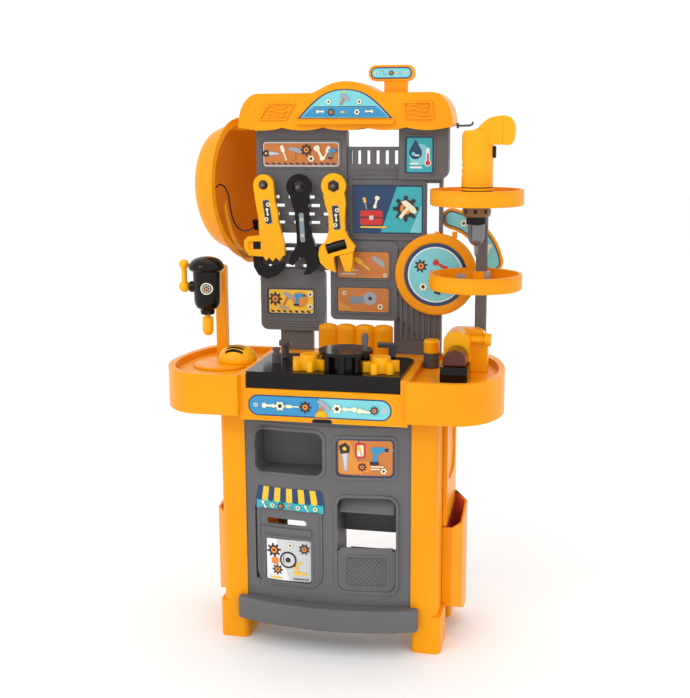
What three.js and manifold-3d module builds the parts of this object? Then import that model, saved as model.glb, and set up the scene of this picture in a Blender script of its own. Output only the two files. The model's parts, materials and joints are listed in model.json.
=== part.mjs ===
// A child's toy workbench: cabinet, table with gears, tool board, trays on a post and loose play tools.
// Millimetres. X is to the right of someone who plays at it, Y is away from them, Z is up.
import * as THREE from "three";
import { mergeVertices } from "three/addons/utils/BufferGeometryUtils.js";
import Module from "manifold-3d";

const wasm = await Module();
wasm.setup();

// ---- driving dimensions ----
const GAP = 0.3; // between touching pieces
const WALL = 3; // moulded plastic
const SIDE_X = 176; // outer face of a side panel
const COLUMN_IN = 134; // inner face of a front column
const CABINET_DEPTH = 190;
const TABLE_BOTTOM = 380;
const TABLE_TOP = 452;
const LOBE_FLOOR = 442; // sunk top of each side wing
const DECK_TOP = 456;
const BOARD_Y = 167; // front face of the tool board
const BOARD_BACK = 183;
const PANEL_BOW = 16; // sagitta of the front panel
const PLINTH_BOW = 24;
const TRAY = { x: 220, y: 80, radius: 72, height: 24, upper: 731, lower: 602 };
const POST = { x: 225, y: 128, width: 18, depth: 14 };
const PRESS = { x: -209, y: 57, columnY: 132 };
const HAT = { x: -184, y: 200, z: 722, across: 92, up: 120, deep: 74, turn: -20, tilt: 9 };
const GEAR = { module: 8.05, centre: [28, 14], left: [-28, 8], right: [84, 8] };
const CENTRE_TEETH = 8;
const SMALL_TEETH = 6;
const SPINDLE = 4; // radius under each gear

const COLOURS = {
  yellow: [0xf7a51e, 0.35, 0],
  lemon: [0xffb81f, 0.32, 0],
  grey: [0x706c6e, 0.5, 0],
  black: [0x17120f, 0.22, 0],
  metal: [0x77767c, 0.35, 0.4],
  brown: [0x7a3216, 0.25, 0],
  silver: [0xb5b4ba, 0.3, 0.6],
};

// ---- solids ----
function toSolid(geometry) {
  const bare = new THREE.BufferGeometry();
  const source = geometry.index ? geometry.toNonIndexed() : geometry;
  bare.setAttribute("position", source.getAttribute("position"));
  const merged = mergeVertices(bare, 1e-3);
  return new wasm.Manifold(
    new wasm.Mesh({
      numProp: 3,
      vertProperties: merged.attributes.position.array,
      triVerts: new Uint32Array(merged.index.array),
    }),
  );
}

const join = (...solids) => solids.reduce((a, b) => a.add(b));
const cut = (solid, ...tools) => tools.reduce((a, b) => a.subtract(b), solid);
const common = (a, b) => a.intersect(b);

// A box between two corners.
function box(x0, x1, y0, y1, z0, z1) {
  const g = new THREE.BoxGeometry(x1 - x0, y1 - y0, z1 - z0);
  g.translate((x0 + x1) / 2, (y0 + y1) / 2, (z0 + z1) / 2);
  return toSolid(g);
}

// A shape drawn in X and Y, standing between two heights.
function prism(shape, z0, z1, segments = 6, bevel = 0) {
  const g = new THREE.ExtrudeGeometry(shape, {
    depth: z1 - z0 - 2 * bevel,
    bevelEnabled: bevel > 0,
    bevelThickness: bevel,
    bevelSize: bevel,
    bevelOffset: -bevel,
    bevelSegments: 1,
    curveSegments: segments,
  });
  g.translate(0, 0, z0 + bevel);
  return toSolid(g);
}

// A shape drawn in X and Z (as seen from the front), between two depths.
function plate(shape, y0, y1, segments = 6, bevel = 0) {
  return prism(shape, -y1, -y0, segments, bevel).rotate([90, 0, 0]);
}

// A shape drawn in Y and Z (as seen from the right), between two X.
function slab(shape, x0, x1, segments = 6, bevel = 0) {
  return prism(shape, x0, x1, segments, bevel).rotate([90, 0, 90]);
}

// A round bar along Z, X or Y.
function bar(axis, at, radius, from, to, sides = 20) {
  const g = new THREE.CylinderGeometry(radius, radius, to - from, sides);
  const mid = (from + to) / 2;
  if (axis === "z") g.rotateX(Math.PI / 2).translate(at[0], at[1], mid);
  if (axis === "x") g.rotateZ(-Math.PI / 2).translate(mid, at[0], at[1]);
  if (axis === "y") g.translate(at[0], mid, at[1]);
  return toSolid(g);
}

// A profile of [radius, height] turned about a vertical line.
function turned(x, y, profile, sides = 24) {
  const points = profile.map(([r, z]) => new THREE.Vector2(r, z));
  const g = new THREE.LatheGeometry(points, sides);
  g.rotateX(Math.PI / 2).translate(x, y, 0);
  return toSolid(g);
}

function ball(x, y, z, radius, sides = 14) {
  const g = new THREE.SphereGeometry(radius, sides, Math.round(sides * 0.6));
  g.translate(x, y, z);
  return toSolid(g);
}

// ---- outlines ----
function rounded(x0, x1, y0, y1, r, corners = [r, r, r, r]) {
  const s = new THREE.Shape();
  const [a, b, c, d] = corners; // lower left, lower right, upper right, upper left
  s.moveTo(x0 + a, y0).lineTo(x1 - b, y0);
  if (b) s.absarc(x1 - b, y0 + b, b, -Math.PI / 2, 0);
  s.lineTo(x1, y1 - c);
  if (c) s.absarc(x1 - c, y1 - c, c, 0, Math.PI / 2);
  s.lineTo(x0 + d, y1);
  if (d) s.absarc(x0 + d, y1 - d, d, Math.PI / 2, Math.PI);
  s.lineTo(x0, y0 + a);
  if (a) s.absarc(x0 + a, y0 + a, a, Math.PI, 1.5 * Math.PI);
  return s;
}

function outline(points) {
  return new THREE.Shape(points.map(([x, y]) => new THREE.Vector2(x, y)));
}

function circle(x, y, r) {
  return new THREE.Shape().absarc(x, y, r, 0, 2 * Math.PI);
}

const mirrorX = (solid) => solid.mirror([1, 0, 0]);

// ---- the model ----
const bench = new THREE.Group();
bench.name = "toy_workbench";

function add(name, finish, solid) {
  const { vertProperties, triVerts } = solid.getMesh();
  const g = new THREE.BufferGeometry();
  g.setAttribute("position", new THREE.BufferAttribute(vertProperties, 3));
  g.setIndex(new THREE.BufferAttribute(triVerts, 1));
  g.computeVertexNormals();
  const [color, roughness, metalness] = COLOURS[finish];
  const mesh = new THREE.Mesh(g, new THREE.MeshStandardMaterial({ color, roughness, metalness }));
  mesh.name = name;
  bench.add(mesh);
  return mesh;
}

// A band that bows forward between x = -half and half, its front at y = front in the middle.
function bowedBand(half, front, sagitta, thick, z0, z1) {
  const r = (half * half + sagitta * sagitta) / (2 * sagitta);
  const spread = Math.asin(half / r);
  const s = new THREE.Shape();
  s.absarc(0, front + r, r, -Math.PI / 2 - spread, -Math.PI / 2 + spread);
  s.absarc(0, front + r, r - thick, -Math.PI / 2 + spread, -Math.PI / 2 - spread, true);
  return prism(s, z0, z1, 7);
}

// ---- cabinet ----
const FOOT_OUT = 182;
const PANEL_FRONT = -14; // middle of the bowed front panel
const NICHE = { x0: -115, x1: -3, z0: 289, z1: 360, deep: 55 };
const DOOR = { x0: -116, x1: -4, z0: 100, z1: 230 };
const BIN = { x0: 18, x1: 112, z0: 101, z1: 174, top: 178 };
const HINGE = [-111.5, -1.2]; // of the storage door, in plan
const HATCH = { x0: 18, x1: 112, z0: 101, z1: 258 };

function sidePanel() {
  const column = rounded(COLUMN_IN, SIDE_X, 0, 34, 0, [0, 14, 0, 0]);
  const columnHollow = rounded(COLUMN_IN + WALL, SIDE_X - WALL, WALL, 40, 0, [0, 11, 0, 0]);
  const shell = join(
    cut(
      prism(column, 60, TABLE_BOTTOM - GAP),
      prism(columnHollow, 70, 376),
    ),
    box(SIDE_X - WALL, SIDE_X, 30, CABINET_DEPTH, 60, TABLE_BOTTOM - GAP),
    box(COLUMN_IN, SIDE_X, CABINET_DEPTH - WALL, CABINET_DEPTH, 60, TABLE_BOTTOM - GAP),
    box(COLUMN_IN, SIDE_X - 1, 30, CABINET_DEPTH - 1, 60, 63),
    cut(
      prism(rounded(COLUMN_IN, FOOT_OUT, 0, 80, 10), 0, 62, 3),
      box(COLUMN_IN + WALL, FOOT_OUT - WALL, WALL, 77, 6, 58),
      box(COLUMN_IN + 8, FOOT_OUT - 8, 70, 90, 12, 50),
    ),
    cut(
      prism(rounded(COLUMN_IN + 6, FOOT_OUT, 142, CABINET_DEPTH, 8), 0, 62, 3),
      box(COLUMN_IN + 9, FOOT_OUT - WALL, 145, CABINET_DEPTH - WALL, 6, 58),
      box(COLUMN_IN + 14, FOOT_OUT - 8, 130, 150, 12, 50),
    ),
  );
  return shell;
}

function sidePocket() {
  const inner = SIDE_X + GAP;
  const back = cut(
    slab(rounded(56, 184, 196, 374, 16, [0, 0, 22, 22]), inner, inner + 7, 4),
    slab(rounded(72, 168, 262, 360, 26), inner + 3, inner + 9, 3),
  );
  const plan = outline([
    [inner, 58], [inner + 16, 58], [207, 78], [207, 152], [inner + 8, 186], [inner, 186],
  ]);
  const hollow = outline([
    [inner + WALL, 62], [inner + 15, 62], [203, 80], [203, 150], [inner + 6, 182], [inner + WALL, 182],
  ]);
  const sideView = slab(outline([[50, 62], [120, 30], [190, 30], [190, 216], [50, 190]]), 170, 210);
  const basket = cut(
    common(prism(plan, 30, 240), sideView),
    prism(hollow, 64, 250),
    slab(outline([[50, 190], [190, 216], [190, 260], [50, 260]]), inner + 7, 215),
  );
  return cut(join(basket, back), box(170, FOOT_OUT + GAP, 50, CABINET_DEPTH, 0, 62 + GAP));
}

const rightSide = sidePanel();
const rightPocket = sidePocket();
add("right_side_panel", "yellow", rightSide);
add("left_side_panel", "yellow", mirrorX(rightSide));
add("right_side_pocket", "yellow", rightPocket);
add("left_side_pocket", "yellow", mirrorX(rightPocket));

const panelHalf = COLUMN_IN - GAP;
const bow = (thick, inset, z0, z1) => bowedBand(panelHalf, PANEL_FRONT + inset, PANEL_BOW, thick, z0, z1);
const windowOf = (s) => plate(s, -60, 60, 3);

function frontPanel() {
  const nicheOut = rounded(NICHE.x0 - 2, NICHE.x1 + 2, NICHE.z0 - 2, NICHE.z1 + 2, 16);
  const nicheIn = rounded(NICHE.x0, NICHE.x1, NICHE.z0, NICHE.z1, 14);
  const hatchOut = rounded(HATCH.x0 - 3, HATCH.x1 + 3, HATCH.z0 - 3, HATCH.z1 + 3, 17);
  const hatchIn = rounded(HATCH.x0, HATCH.x1, HATCH.z0, HATCH.z1, 15);
  const doorway = rounded(DOOR.x0, DOOR.x1, DOOR.z0, DOOR.z1, 20, [26, 26, 8, 8]);
  const labelRecess = plate(rounded(18, 108, 291, 353, 10), -30, -11.5, 3);
  const ear = (z0, z1) => box(HINGE[0] - 3.5, HINGE[0] + 3.5, -2, 3, z0, z1);
  const face = cut(bow(WALL, 0, 78 + GAP, TABLE_BOTTOM - GAP), windowOf(nicheIn), windowOf(hatchIn));
  const nicheBox = cut(plate(nicheOut, -9, NICHE.deep - 6, 3), plate(nicheIn, -30, NICHE.deep - 9, 3));
  const hatchFrame = cut(plate(hatchOut, -9, 62, 3), plate(hatchIn, -30, 80, 3));
  const hatchBack = box(HATCH.x0 - 1, HATCH.x1 + 1, 58, 61, BIN.top, HATCH.z1 - 4);
  const shell = cut(
    join(face, nicheBox, hatchFrame, hatchBack),
    windowOf(doorway),
    labelRecess,
    bar("z", HINGE, 7, 107, 231, 20), // room for the door's edge to swing
  );
  return cut(join(shell, ear(98, 107), ear(231, 240)), bar("z", HINGE, 1.9, 99, 239, 10));
}
add("front_panel", "grey", frontPanel());

function plinth() {
  const s = new THREE.Shape();
  const half = 147, front = -38, r = (half * half + PLINTH_BOW ** 2) / (2 * PLINTH_BOW);
  const spread = Math.asin(half / r);
  s.absarc(0, front + r, r, -Math.PI / 2 - spread, -Math.PI / 2 + spread);
  s.lineTo(half, -GAP).lineTo(panelHalf, -GAP).lineTo(panelHalf, 60).lineTo(-panelHalf, 60);
  s.lineTo(-panelHalf, -GAP).lineTo(-half, -GAP);
  return cut(prism(s, 40, 78, 9), box(-125, 125, -12, 54, 30, 72));
}
add("plinth_shelf", "grey", plinth());
add("cabinet_back", "grey", cut(
  box(-panelHalf, panelHalf, CABINET_DEPTH - WALL, CABINET_DEPTH, 66, 376),
  plate(rounded(-116, 116, 94, 351, 12), CABINET_DEPTH - 10, CABINET_DEPTH + 5, 4),
));

function storageDoor() {
  const edge = rounded(DOOR.x0 + 1, DOOR.x1 - 1, DOOR.z0 + 1, DOOR.z1 - 1, 19, [25, 25, 7, 7]);
  const face = common(bow(WALL + 2, -1.6, 80, 240), windowOf(edge));
  const ledge = common(box(-106, -22, -19, 0, 190, 199), bow(20, -4.5, 80, 240));
  return cut(
    join(face, ledge, bar("z", HINGE, 3.6, 124, 222, 10)),
    windowOf(rounded(-98, -31, 204, 214, 5)),
    box(-101, -22, -30, -11.5, 108, 182),
    bar("z", HINGE, 1.9, 90, 240, 10),
  );
}
add("storage_door", "grey", storageDoor());
add("door_hinge_pin", "metal", bar("z", HINGE, 1.6, 100, 238, 10));

function pullBin() {
  const edge = rounded(BIN.x0 + 1, BIN.x1 - 1, BIN.z0 + 1, BIN.z1, 14, [14, 14, 2, 2]);
  const face = common(bow(WALL, 0.5, 90, 180), windowOf(edge));
  const tray = cut(
    box(BIN.x0 + 9, BIN.x1 - 9, -11.5, 56, BIN.z0 + 5, 150),
    box(BIN.x0 + 11.5, BIN.x1 - 11.5, -11.5, 53.5, BIN.z0 + 7.5, 160),
    bow(60, -59, 80, 180),
  );
  const notch = (x) => windowOf(rounded(x - 5, x + 5, BIN.z1 - 5, BIN.z1 + 5, 2));
  return cut(join(face, tray), notch(BIN.x0 + 1), notch(BIN.x1 - 1));
}
add("pull_bin", "grey", pullBin());

// ---- table ----
const WING = { in: 131, out: 271, front: -42, back: 190 };
const DECK = { half: 121, front: -27, back: 122 };

function wingOutline(inset = 0, inner = WING.in) {
  const s = new THREE.Shape();
  const x = WING.out - inset, f = WING.front + inset, b = WING.back - inset;
  s.moveTo(inner, f).lineTo(200, f);
  s.bezierCurveTo(236, f, x - 4, f + 40, x - 1, f + 92);
  s.bezierCurveTo(x, f + 130, x - 10, b - 30, x - 34, b);
  s.lineTo(inner, b);
  return s;
}

function tableTop() {
  const top = LOBE_FLOOR;
  const wing = cut(
    prism(wingOutline(), TABLE_BOTTOM + 8, TABLE_TOP, 8),
    prism(wingOutline(10, WING.in + 3), top, TABLE_TOP + 9, 6),
    prism(wingOutline(4, WING.in - 20), TABLE_BOTTOM, top - 4, 5),
    box(SIDE_X + GAP, 184, 50, 190, 300, TABLE_BOTTOM + 12),
  );
  const span = WING.in + 1;
  const middle = cut(
    join(
      box(-span, span, -31, WING.back, TABLE_BOTTOM, 430),
      box(-span, span, DECK.back + GAP, WING.back, 420, TABLE_TOP),
      box(-span, -DECK.half - GAP, -31, WING.back, 420, TABLE_TOP),
      box(DECK.half + GAP, span, -31, WING.back, 420, TABLE_TOP),
    ),
    box(-span - 9, span + 9, -27, WING.back - 4, 300, 426),
    box(-span - 9, span + 9, DECK.back + 4, WING.back - 4, 300, 448),
    box(-DECK.half + 6, DECK.half - 6, -14, DECK.back - 6, 420, 440),
    box(-16, 16, -40, -20, 370, 386),
  );
  const latch = plate(circle(0, 392, 8), -36, -29, 8);
  const closedWing = join(wing, box(WING.in, WING.in + WALL, WING.front + 1, -27, TABLE_BOTTOM + 8, 441));
  const pegHole = prism(circle(148, 118, 9), 400, 460, 7);
  const squareHole = prism(rounded(140, 156, 14, 30, 3), 434, 460, 3);
  const rightWing = cut(closedWing, pegHole, squareHole);
  return join(middle, rightWing, mirrorX(closedWing), common(latch, box(-20, 20, -40, 0, 391, 410)));
}
add("table_top", "yellow", tableTop());

function gearDeck() {
  const top = rounded(-DECK.half, DECK.half, DECK.front, DECK.back, 0, [0, 0, 22, 8]);
  const half = DECK.half - WALL;
  const inner = rounded(-half, half, DECK.front + WALL, DECK.back - WALL, 0, [0, 0, 20, 6]);
  const spindle = (at) => bar("z", at, SPINDLE, DECK_TOP - 5, 470, 24);
  const shell = cut(prism(top, 430 + GAP, DECK_TOP, 6), prism(inner, 420, DECK_TOP - WALL, 6));
  return join(shell, spindle(GEAR.left), spindle(GEAR.right), spindle(GEAR.centre));
}
add("gear_deck", "black", gearDeck());

// A toothed outline round a point, its first tooth pointing at the given angle.
function gearShape([x, y], teeth, root, tip, first, width) {
  const s = new THREE.Shape();
  for (let k = 0; k < teeth; k++) {
    const a = first + (k * 2 * Math.PI) / teeth;
    const at = (r, side) => {
      const t = a + (side * width * (r < tip ? 1.25 : 0.72)) / r / 2;
      return [x + r * Math.cos(t), y + r * Math.sin(t)];
    };
    const corners = [at(root, -1), at(tip - 2, -1), at(tip, -0.7), at(tip, 0.7), at(tip - 2, 1), at(root, 1)];
    corners.forEach(([px, py], i) => (k || i ? s.lineTo(px, py) : s.moveTo(px, py)));
    const gap = a + Math.PI / teeth;
    s.lineTo(x + root * Math.cos(gap), y + root * Math.sin(gap));
  }
  return s;
}

// The first tooth's angle of a small gear, so that its gaps face the middle gear's teeth.
function meshAngle([x, y]) {
  const line = Math.atan2(y - GEAR.centre[1], x - GEAR.centre[0]);
  const share = line / ((2 * Math.PI) / CENTRE_TEETH);
  return line + Math.PI + ((share - Math.floor(share) - 0.5) * 2 * Math.PI) / SMALL_TEETH;
}

const GEAR_FLOOR = DECK_TOP + GAP;
const pitch = (teeth) => (GEAR.module * teeth) / 2;

function smallGear(at) {
  const r = pitch(SMALL_TEETH);
  const shape = gearShape(at, SMALL_TEETH, r - 6.5, r + 5, meshAngle(at), 8.5);
  return cut(
    join(prism(shape, GEAR_FLOOR, 473), bar("z", at, 15, 472, 480, 24)),
    bar("z", at, SPINDLE + 0.07, 450, 471, 24),
    bar("z", at, 9, 476, 490, 6),
  );
}

function centralGear() {
  const at = GEAR.centre;
  const r = pitch(CENTRE_TEETH);
  const shape = gearShape(at, CENTRE_TEETH, r - 6.5, r + 5, 0, 8.5);
  return cut(
    join(prism(shape, GEAR_FLOOR, 484), bar("z", at, 42, 483, 488, 32)),
    bar("z", at, SPINDLE + 0.07, 450, 471, 24),
    bar("z", [60, 6], 3.5, 480, 500, 12),
  );
}
add("left_gear", "lemon", smallGear(GEAR.left));
add("right_gear", "lemon", smallGear(GEAR.right));
add("central_gear", "black", centralGear());
add("crank_knob", "metal", join(
  bar("z", [60, 6], 3.2, 484.5, 492, 12),
  turned(60, 6, [[0, 488 + GAP], [5, 488 + GAP], [4.4, 494], [5.6, 511], [4, 515], [0, 516]], 16),
));

// ---- loose bolts and the angle key on the deck ----
const deckFloor = DECK_TOP + GAP;
add("short_bolt", "metal", join(
  bar("z", [-90, 40], 7.5, deckFloor, 472, 6),
  bar("z", [-90, 40], 5, 471, 478, 16),
  bar("z", [-90, 40], 7, 477, 481, 6),
));
add("long_bolt", "metal", join(
  bar("z", [-86, 80], 6, deckFloor, 478, 16),
  bar("z", [-86, 80], 11, 477, 486, 6),
));
add("angle_key", "metal", join(
  slab(rounded(113, 123, deckFloor, 480, 2), 78, 89, 3),
  slab(rounded(113, 123, 472, 480, 2), 60, 80, 3),
));

// ---- right wing: peg screw and belt sander ----
const wingFloor = LOBE_FLOOR + GAP;
add("peg_screw_body", "metal", turned(148, 118, [
  [0, 428], [8, 428], [8, 443], [13, 443], [13, 466], [0, 466],
], 20));
add("peg_screw_head", "lemon", turned(148, 118, [
  [0, 466.3], [12, 466.3], [13, 469], [13, 485], [11, 488], [0, 488],
], 20));

const SANDER = { x0: 172, x1: 240, axis: 196 };
function sanderHousing() {
  const s = rounded(SANDER.x0 + 2, SANDER.x1, wingFloor, 512, 20, [3, 3, 22, 18]);
  return join(
    plate(s, 96, 116 - GAP, 4),
    plate(rounded(SANDER.x0 + 2, 214, wingFloor, 512, 16, [3, 3, 16, 16]), 60, 97, 4),
    bar("x", [84, 497], 6, 212, 236, 14),
  );
}
add("sander_housing", "lemon", sanderHousing());
add("sander_knob", "lemon", bar("x", [84, 497], 10, 236.3, 246, 18));
const drum = new THREE.Shape();
drum.moveTo(SANDER.axis - 18, 466.3).lineTo(SANDER.axis + 18, 466.3).lineTo(SANDER.axis + 18, 474);
drum.absarc(SANDER.axis, 474, 18, 0, Math.PI);
add("sander_belt", "brown", plate(drum, 14, 60 - GAP, 10));
add("sander_base", "black", cut(
  slab(outline([[8, wingFloor], [59.5, wingFloor], [59.5, 466], [14, 466], [6, 456]]), 175, 217),
  box(182, 210, 24, 50, 430, 458),
));

// ---- left wing: drill press and sanding dome ----
const domed = (points) => turned(0, 0, points, 28).scale([1.1, 1, 1]).translate([-168, 82, 0]);
add("press_base", "yellow", cut(
  join(
    turned(-192, 70, [[0, wingFloor], [46, wingFloor], [46, 445], [44, 447], [0, 447]], 28),
    domed([[0, wingFloor], [29.6, wingFloor], [29.6, 447], [0, 447]]),
  ),
  bar("z", [PRESS.x, PRESS.y], 6, 444.5, 470, 16),
));
add("press_dome", "lemon", cut(
  domed([[0, 447.3], [29, 447.3], [29, 451], [28, 457], [25, 464], [19, 470], [10, 473.6], [0, 474.6]]),
  ...[72, 82, 92].map((y) => box(-186, -150, y - 2, y + 2, 467, 490)),
));
const columnX = PRESS.x;
add("press_column", "yellow", join(
  plate(rounded(columnX - 9, columnX + 9, wingFloor, 600, 6), PRESS.columnY - 8, PRESS.columnY + 8, 3),
  box(columnX - 5, columnX + 5, PRESS.y + 22.5, PRESS.columnY - 6, 556, 590),
));
add("press_head", "black", cut(
  join(bar("x", [PRESS.y, 573], 9, -237, -225, 14), turned(PRESS.x, PRESS.y, [
    [0, 529], [11, 529], [12, 537], [17, 540], [21, 552], [22, 599], [26, 600], [29, 604], [28, 609],
    [20, 618], [8, 622], [0, 622.5],
  ], 24)),
  bar("z", [PRESS.x, PRESS.y], 5.2, 500, 594, 16),
  bar("x", [PRESS.y, 573], 3.3, PRESS.x - 40, PRESS.x - 9, 12),
));
add("press_plunger", "lemon", join(
  bar("z", [PRESS.x, PRESS.y], 5, 500, 588, 16),
  turned(PRESS.x, PRESS.y, [[0, 494], [6, 496], [9, 502], [9, 524], [0, 524]], 18),
));
add("press_crank", "lemon", join(
  ball(-247, PRESS.y, 573, 9.3, 12),
  ball(-247, PRESS.y, 609, 8, 12),
  bar("z", [-247, PRESS.y], 4.5, 573, 609, 12),
  bar("x", [PRESS.y, 573], 3, -247, PRESS.x - 12, 12),
));

// ---- tool board ----
const SEAM = -0.5; // between the left and right boards
const TOOL_PEG = 3; // radius
const panelAt = (x0, x1, z0, z1, r = 6, front = BOARD_Y, corners) =>
  plate(rounded(x0, x1, z0, z1, r, corners), front, BOARD_BACK, 3);
const recess = (x0, x1, z0, z1, front = BOARD_Y, deep = 2) =>
  plate(rounded(x0, x1, z0, z1, 5), front - 5, front + deep, 2);
const through = (x0, x1, z0, z1) => box(x0, x1, 140, 200, z0, z1);
const hollowBack = (x0, x1, z0, z1, front = BOARD_Y) => box(x0, x1, front + 3, BOARD_BACK + 5, z0, z1);

function slotRows(x0, columns, rows, top) {
  const slots = [];
  for (let row = 0; row < rows; row++)
    for (let k = 0; k < columns; k++) {
      const x = x0 + 30 * k + (row % 2 ? 9 : 0);
      slots.push(through(x, x + 19, top - 14 * row - 6, top - 14 * row));
    }
  return slots;
}

const PEGS = [[-136, 732], [-76, 729], [-18, 731]];

function leftBoard() {
  return cut(
    join(
      panelAt(-153, SEAM, 652, 822, 8, BOARD_Y - 4),
      box(-153, -119, BOARD_Y, BOARD_BACK, 584, 660),
      panelAt(-153, -31, 590, 633, 3),
      panelAt(-150, -40, 487, 592, 12, BOARD_Y - 4),
      box(-118, -62, BOARD_Y + 4, BOARD_BACK, TABLE_TOP + GAP, 500),
    ),
    recess(-143, -12, 760, 802, BOARD_Y - 4),
    recess(-139, -56, 513, 559, BOARD_Y - 4),
    hollowBack(-148, SEAM - 5, 724, 816, BOARD_Y - 4),
    hollowBack(-145, -45, 493, 586, BOARD_Y - 4),
    ...slotRows(-134, 4, 4, 714),
    ...slotRows(-140, 3, 3, 627),
  ).add(join(...PEGS.map(([x, z]) => bar("y", [x, z], TOOL_PEG, 133, BOARD_Y - 3, 10))));
}

function rightBoard() {
  const x0 = SEAM + GAP;
  const bars = [through(4.6, 8.4, 765, 787)];
  for (let k = 0; k < 5; k++) bars.push(through(15 + 15.3 * k, 22.4 + 15.3 * k, 765, 787));
  return cut(
    join(
      panelAt(x0, 90, 738, 793, 2),
      panelAt(86, 166, 741, 824, 8, BOARD_Y - 8, [0, 16, 4, 4]),
      box(x0, 156.5, BOARD_Y, BOARD_BACK, 634, 745),
      panelAt(0, 132, 643, 740, 7, BOARD_Y - 3),
      panelAt(-29, 84, 508, 640, 9, BOARD_Y - 3),
      box(78, 156.5, BOARD_Y, BOARD_BACK, TABLE_TOP + GAP, 640),
    ),
    recess(96, 143, 750, 810, BOARD_Y - 8),
    recess(8, 126, 652, 732, BOARD_Y - 3),
    recess(-18, 70, 578, 623, BOARD_Y - 3),
    recess(-18, 70, 521, 563, BOARD_Y - 3),
    hollowBack(92, 151, 752, 818, BOARD_Y - 8),
    hollowBack(5, 151, 648, 735, BOARD_Y - 3),
    hollowBack(-24, 78, 514, 628, BOARD_Y - 3),
    hollowBack(84, 151, 456, 640),
    ...bars,
  );
}
add("left_board", "grey", leftBoard());
add("right_board", "grey", rightBoard());

function backsplash() {
  const s = new THREE.Shape();
  s.moveTo(-49, TABLE_TOP + GAP).lineTo(77, TABLE_TOP + GAP).lineTo(77, 494);
  for (let k = 0; k < 4; k++) s.absarc(77 - 15.75 - 31.5 * k, 494, 15.75, 0, Math.PI);
  const flatTop = box(-60, 90, 100, 200, 440, 502);
  return cut(
    common(plate(s, 151, BOARD_Y - 4 - GAP, 4), flatTop),
    ...[-22, 8, 38].map((x) => bar("y", [0, 0], 5, 140, 153.5, 10).translate([x, 0, 494])),
  );
}
add("backsplash", "yellow", backsplash());

// ---- canopy ----
const CANOPY = { half: 175, topHalf: 149, front: 136, back: 206, bottom: 820, top: 878, dome: 896 };
function canopyShape(inset) {
  const s = new THREE.Shape();
  const h = CANOPY.half - inset, t = CANOPY.topHalf - inset, top = CANOPY.top - inset;
  s.moveTo(-h, CANOPY.bottom + 4);
  for (let k = 0; k < 5; k++) {
    const x = -h + 6 + ((2 * h - 12) * k) / 5, w = (2 * h - 12) / 5;
    s.lineTo(x, CANOPY.bottom + 4);
    s.quadraticCurveTo(x + w / 2, CANOPY.bottom - 5 + (inset ? -6 : 0), x + w, CANOPY.bottom + 4);
  }
  s.lineTo(h, CANOPY.bottom + 6);
  s.bezierCurveTo(h, top - 18, t + 8, top, t - 8, top);
  s.lineTo(60, top);
  s.bezierCurveTo(42, top + 6, 32, CANOPY.dome - inset, 4, CANOPY.dome - inset);
  s.bezierCurveTo(-24, CANOPY.dome - inset, -34, top + 6, -52, top);
  s.lineTo(-t + 8, top);
  s.bezierCurveTo(-t - 8, top, -h, top - 18, -h, CANOPY.bottom + 4);
  return s;
}
function canopy() {
  const face = new THREE.Shape();
  face.moveTo(-76, 838).lineTo(80, 838);
  face.bezierCurveTo(52, 868, 36, 884, 2, 884).bezierCurveTo(-32, 884, -48, 868, -76, 838);
  const emblem = (x, lean) => plate(outline([
    [x - 26 + lean, 836], [x + 20 + lean, 836], [x + 26 - lean, 863], [x - 20 - lean, 863],
  ]), CANOPY.front - 1, CANOPY.front + 1.2, 1);
  return cut(
    join(
      plate(canopyShape(0), CANOPY.front, CANOPY.back, 4),
      plate(rounded(-78, 83, 829, 835, 2.5), CANOPY.front - 8, CANOPY.front + 4, 2),
    ),
    plate(canopyShape(4), CANOPY.front + 4, CANOPY.back - 4, 3),
    box(-CANOPY.half + 10, CANOPY.half - 10, CANOPY.front + 4, CANOPY.back - 4, 800, 832),
    plate(face, CANOPY.front - 3, CANOPY.front + 1.2, 5),
    emblem(-109, -5), emblem(121, 5),
  );
}
add("canopy", "yellow", canopy());
add("canopy_sign", "yellow", join(
  box(62, 99, 158, 172, CANOPY.top + GAP, 902),
  plate(rounded(37, 111, 896, 921, 12), 156, 174, 4),
));

const HOOK_Y = 190;
function hook(side, tip) {
  const z = CANOPY.bottom + 6;
  const path = new THREE.CatmullRomCurve3(
    [[173, z], [tip - 10, z], [tip - 3, z + 0.5], [tip, z + 3], [tip, z + 6]]
      .map(([x, height]) => new THREE.Vector3(x, HOOK_Y, height)),
  );
  const section = new THREE.Shape().absarc(0, 0, 2, 0, 2 * Math.PI);
  const rod = toSolid(new THREE.ExtrudeGeometry(section, { steps: 8, extrudePath: path, curveSegments: 3 }));
  const made = cut(
    join(rod, bar("x", [HOOK_Y, z], 4.5, CANOPY.half + GAP, 179, 12)),
    box(160, CANOPY.half + GAP, 180, 200, 800, 850),
  );
  return side < 0 ? mirrorX(made) : made;
}
add("right_hook", "metal", hook(1, 201));
add("left_hook", "metal", hook(-1, 189));

// ---- round sign and arched sign at the board's edge ----
const SIGN = { x: 148, z: 588, radius: 67 };
const clip = (x) => box(x, x + 8, 157, 163, SIGN.z + 58, SIGN.z + 70);
add("ring_sign", "yellow", cut(
  join(
    plate(circle(SIGN.x, SIGN.z, SIGN.radius), 154, BOARD_Y - 3 - GAP, 20),
    clip(SIGN.x - 2),
    clip(SIGN.x + 26),
  ),
  plate(circle(SIGN.x, SIGN.z - 1, 52), 150, 156, 18),
));
function archSign() {
  const s = new THREE.Shape();
  const low = (12 * Math.PI) / 180, high = (76 * Math.PI) / 180, mid = 92, half = 17;
  const end = (angle, from) => s.absarc(
    SIGN.x + mid * Math.cos(angle), SIGN.z + mid * Math.sin(angle), half, from, from + Math.PI,
  );
  s.absarc(SIGN.x, SIGN.z, mid + half, low, high);
  end(high, high);
  s.absarc(SIGN.x, SIGN.z, mid - half, high, low, true);
  end(low, low + Math.PI);
  return plate(s, BOARD_BACK + GAP, BOARD_BACK + 8, 6);
}
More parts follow.
